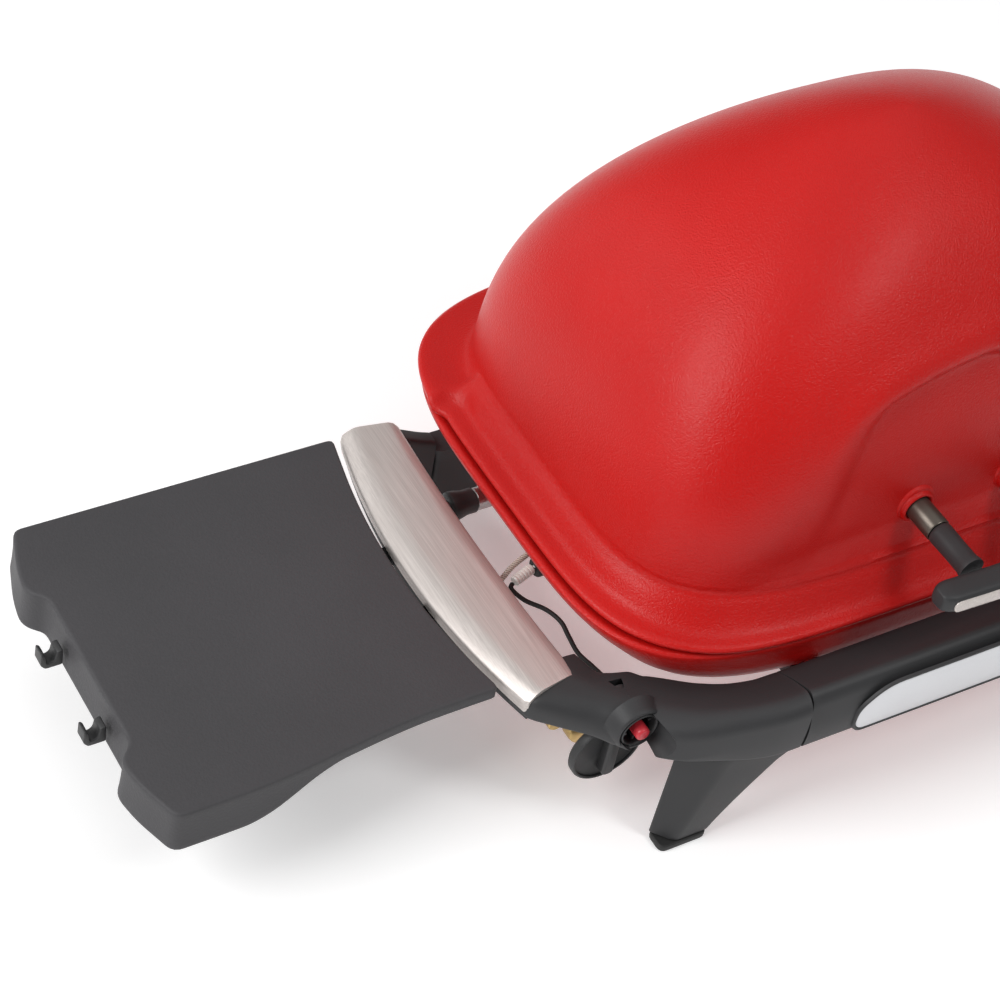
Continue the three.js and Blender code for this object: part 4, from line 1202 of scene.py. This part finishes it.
@dataclass
class Ignition(SubAssembly):
    """The igniter's housing, the electrode and its leads."""

    def make(self) -> None:
        """Builds the fixed pieces of the ignition."""
        x, y, z = IGNITER
        cup = Shell().turn([(0, -30), (8.6, -30), (9.2, -29.4), (9.4, -14), (12.8, -11),
                            (12.8, -1.4), (12.4, -0.5),
                            (11.8, -0.2), (11.2, -0.8), (10.9, -2.4), (10.9, -11), (9.6, -12),
                            (9.6, -19), (8.6, -20), (0, -20)], (x, y, z), (0, -1, 0), 56)
        for k in range(6):
            turn = k * math.pi / 3 + 0.4
            rib = rounded([(7.4, -0.7), (10.9, -0.7), (10.9, 0.7), (7.4, 0.7)], 0.5, 2)
            c, s = math.cos(turn), math.sin(turn)
            cup.slab(rib, 3.4, 19.0, 0.3, lambda u, v, w: np.stack(
                [x + u * c - v * s, y + w, z + u * s + v * c], 1))
        self.piece("igniter_housing_shape", cup, KNOB_BLACK, "igniter_housing")
        lead_x, lead_y, lead_z = -217.9, -22.0, 91.0
        grommet = Shell().turn([(2.4, -6), (4.0, -6), (4.0, -0.2), (5.9, 0), (6.5, 0.7),
                                (6.5, 3.6), (5.6, 4.8), (4.4, 5.0), (2.4, 5.0)],
                               (lead_x, lead_y, lead_z), (-1, 0, 0), 32, closed=True)
        self.piece("lead_grommet_shape", grommet, RUBBER, "lead_grommet")
        start = np.array([lead_x - 6.5, lead_y, lead_z])
        end = np.array([lead_x - 21, lead_y - 4, lead_z - 2])
        length = float(np.linalg.norm(end - start))
        profile = [(0, 0), (3.0, 0), (3.5, 0.5)]
        for k in range(5):
            at = 1.6 + k * (length - 3.4) / 5
            profile += [(3.55, at), (3.55, at + 1.4), (3.1, at + 1.7), (3.1, at + 2.0)]
        profile += [(3.5, length - 0.8), (2.9, length), (0, length)]
        sleeve = Shell().turn(profile, start, end - start, 32)
        self.piece("electrode_connector_shape", sleeve, CERAMIC, "electrode_connector")
        rod = curve_through([(lead_x - 5.5, lead_y, lead_z), (-170, lead_y, lead_z),
                             (-120, lead_y, lead_z)], 20)
        self.piece("electrode_shape", Shell().pipe(rod, 2.0, 16), STEEL, "electrode")
        black = curve_through([(-240.3, -26.6, 88.7), (-242.8, -30, 88), (-238, -39, 85),
                               (-229, -50, 84), (-225.5, -62, 84), (-226.5, -74, 83),
                               (-228.5, -88, 84), (-228, -104, 88), (-230, -118, 94),
                               (x, y + 31.6, z)], 110)
        self.piece("igniter_lead_shape", Shell().pipe(black, 1.5, 14), RUBBER, "igniter_lead")
        pale = curve_through([(-213.8, -8, 91), (-222, -11, 91), (-234, -15, 89.5),
                              (-246, -21, 87), (-256, -25, 85), (-265.6, -28, 84)], 60)
        self.piece("ground_lead_shape", Shell().pipe(pale, 1.8, 14), BRAID, "ground_lead")


@dataclass
class IgniterButton(SubAssembly):
    """The button that is pressed to light the burner."""

    body: str = "igniter"

    def make(self) -> None:
        """Builds the button."""
        button = Shell().turn([(0, -16), (4.4, -16), (4.6, -15.6), (4.6, 1.4), (4.5, 2.4),
                               (4.1, 3.3), (3.4, 3.8), (2.2, 4.0), (0, 4.0)],
                              IGNITER, (0, -1, 0), 40)
        self.piece("igniter_button_shape", button, BUTTON_RED, "igniter_button")


@dataclass
class Grate(SubAssembly):
    """One half of the cooking surface: a rim, bars and a middle web."""

    side: str = "left"
    plan: Oblong = field(default_factory=Oblong)

    def make(self) -> None:
        """Builds the grate from bars that share its rim."""
        half_x, half_y, y0 = self.plan.half_x * 0.835, self.plan.half_y * 0.835, self.plan.y
        high = 111.4
        n = self.plan.corner
        angle = np.linspace(math.pi / 2, 1.5 * math.pi, 60)
        c, s = np.cos(angle), np.sin(angle)
        k = (np.abs(c) ** n + np.abs(s) ** n) ** (-1 / n)
        edge = np.stack([np.minimum(half_x * c * k, -2.0), y0 + half_y * s * k], 1)
        path = np.column_stack([inset(edge, 5.2), np.full(60, high)])[1:-1]
        path = np.vstack([[-7.5, y0 + half_y - 5.2, high], path, [-7.5, y0 - half_y + 5.2, high]])
        bar = rounded([(-5.0, -7.0, 1), (5.0, -7.0, 1), (4.6, -0.0, 2), (-4.6, 0.0, 2)], 1.2, 4)
        shell = Shell().sweep(bar, even(path, 90))
        pitch = (half_x - 2 - 16) / 8
        slim = rounded([(-4.4, -7.0, 1), (4.4, -7.0, 1), (3.2, 0.0, 1.6), (-3.2, 0.0, 1.6)], 1, 4)
        for k in range(9):
            x = min(-10 - pitch * k, -6.5)
            share = max(0.0, 1 - (abs(x) / half_x) ** n) ** (1 / n)
            reach = half_y * share - 5
            if reach < 20:
                continue
            line = np.array([[x, y0 - reach, high], [x, y0, high], [x, y0 + reach, high]])
            shell.sweep(slim, even(line, 7))
        web = np.array([[-4.0, y0, high - 1.2], [-half_x + 6, y0, high - 1.2]])
        shell.sweep(slim * [1.3, 0.8], even(web, 7))
        if self.side == "right":
            shell = shell.mirrored()
        self.piece(f"cooking_grate_{self.side}_shape", shell, CAST_IRON,
                   f"cooking_grate_{self.side}")


@dataclass
class GreaseTray(SubAssembly):
    """The tray that slides out at the front."""

    body: str = "tray"

    def make(self) -> None:
        """Builds the tray with a rolled rim."""
        x, y, r = 70.0, 66.0, 9.0
        plan = rounded([(-x, -y), (x, -y), (x, y), (-x, y)], r, 6)
        dense = even(np.vstack([plan, plan[:1]]), 181)[:-1]
        levels = [(7.0, 27.0), (4.2, 27.0), (2.6, 28.2), (2.0, 30.0), (1.2, 42.0), (0.2, 42.6),
                  (0.0, 43.3), (0.5, 44.0), (1.6, 43.8), (2.6, 42.8), (3.2, 31.0), (4.2, 29.2),
                  (6.0, 28.6), (9.0, 28.5)]
        rings = []
        for distance, z in levels:
            flat = inset(dense, distance)
            rings.append(flat_plan(*flat.T, np.full(len(flat), z)))
        self.piece("grease_tray_shape", Shell().loft(rings), ALUMINIUM, "grease_tray")


@dataclass
class TrayHolder(SubAssembly):
    """The folded steel channel that the tray slides in, open at the front."""

    def make(self) -> None:
        """Builds the channel."""
        x, low, high, t = 76.0, 23.0, 48.0, 2.0
        section = rounded([(-x, high, 0.4), (-x, low, 2.5), (x, low, 2.5), (x, high, 0.4),
                           (x - t, high, 0.4), (x - t, low + t, 1.5), (-x + t, low + t, 1.5),
                           (-x + t, high, 0.4)], 1, 4)
        shell = Shell().slab(section, -72.0, 72.0, 0.3,
                             lambda u, v, w: np.stack([u, w, v], 1))
        back = rounded([(-x + 2.2, low + 2.2), (x - 2.2, low + 2.2), (x - 2.2, high - 0.2),
                        (-x + 2.2, high - 0.2)], 1)
        shell.slab(back, 70.0, 71.8, 0.3, lambda u, v, w: np.stack([u, w, v], 1))
        self.piece("tray_holder_shape", shell, STEEL, "tray_holder", sharp=30)


# ---------------------------------------------------------------- stage
@dataclass(frozen=True)
class SoftLight:
    """A square studio light that looks at the grill."""

    name: str
    at: tuple[float, float, float]
    size: float
    power: float
    colour: tuple[float, float, float] = (1.0, 1.0, 1.0)

    def make(self) -> None:
        """Adds the light."""
        lamp = bpy.data.lights.new(self.name, "AREA")
        lamp.size, lamp.energy, lamp.color = self.size, self.power, self.colour
        made = bpy.data.objects.new(self.name, lamp)
        bpy.context.scene.collection.objects.link(made)
        made.location = self.at
        aim = Vector((0, 0, 0.12)) - Vector(self.at)
        made.rotation_euler = aim.to_track_quat("-Z", "Y").to_euler()


@dataclass
class Studio:
    """The floor, the lights, the surroundings and the camera."""

    lights: tuple = (
        SoftLight("key_left", (-2.2, 0.0, 1.7), 1.3, 44.0),
        SoftLight("top_right", (0.62, -1.25, 1.95), 0.55, 12.0),
        SoftLight("overhead", (0.2, 0.5, 2.8), 3.2, 20.0),
        SoftLight("back_left", (-1.6, 2.2, 1.3), 1.4, 9.0),
    )

    def make(self) -> None:
        """Adds everything round the grill."""
        self.floor()
        for light in self.lights:
            light.make()
        world = bpy.data.worlds.new("surroundings")
        world.use_nodes = True
        back = world.node_tree.nodes["Background"]
        back.inputs[0].default_value = (1.0, 1.0, 1.0, 1.0)
        back.inputs[1].default_value = 0.27
        bpy.context.scene.world = world
        bpy.context.scene.view_settings.view_transform = "Standard"
        self.camera()

    def floor(self) -> None:
        """A wide pale floor under the grill."""
        shell = Shell()
        reach = 7000.0
        outline = rounded([(-reach, -reach), (reach, -reach), (reach, reach), (-reach, reach)],
                          900, 10)
        shell.slab(outline, -20.0, -0.05, 2.0, flat_plan)
        made = shell.to_object("floor", 60)
        paint = Paint("pale_floor")
        haze = paint.noise(3.0, 2.0)
        paint.set(Base_Color=paint.blend((0.88, 0.88, 0.88, 1), (0.90, 0.90, 0.90, 1), haze),
                  Roughness=0.9, Emission_Color=(1.0, 1.0, 1.0, 1.0), Emission_Strength=0.30)
        made.data.materials.append(paint.material)

    def camera(self) -> None:
        """The camera, turned to the angle that the grill is seen from."""
        lens = bpy.data.cameras.new("camera")
        lens.lens, lens.sensor_width = 94.10, 36.0
        lens.clip_start, lens.clip_end = 0.05, 60.0
        made = bpy.data.objects.new("camera", lens)
        bpy.context.scene.collection.objects.link(made)
        right = Vector((0.86011, -0.48907, 0.14498))
        up = Vector((0.26353, 0.66937, 0.69461))
        turn = Matrix((right, up, right.cross(up))).transposed().to_4x4()
        eye = Vector((-932.7, -884.1 + MIDDLE_Y, 1251.2)) * MM
        made.matrix_world = Matrix.Translation(eye) @ turn
        bpy.context.scene.camera = made


def main() -> None:
    """Builds the grill round the frame and sets the stage."""
    logging.basicConfig(level=logging.INFO, format="%(name)s: %(message)s")
    Studio().make()
    parts: Iterable = (
        Lid(), Cookbox(), Frame(), EndHandle(),
        SideTable(body="table_left", side="left"), SideTable(body="table_right", side="right"),
        GasLine(), Knob(), Ignition(), IgniterButton(),
        Grate(body="grate_left", side="left"), Grate(body="grate_right", side="right"),
        GreaseTray(), TrayHolder())
    for part in parts:
        part.make()
        LOG.info("%s is done", type(part).__name__)


if __name__ == "__main__":
    main()
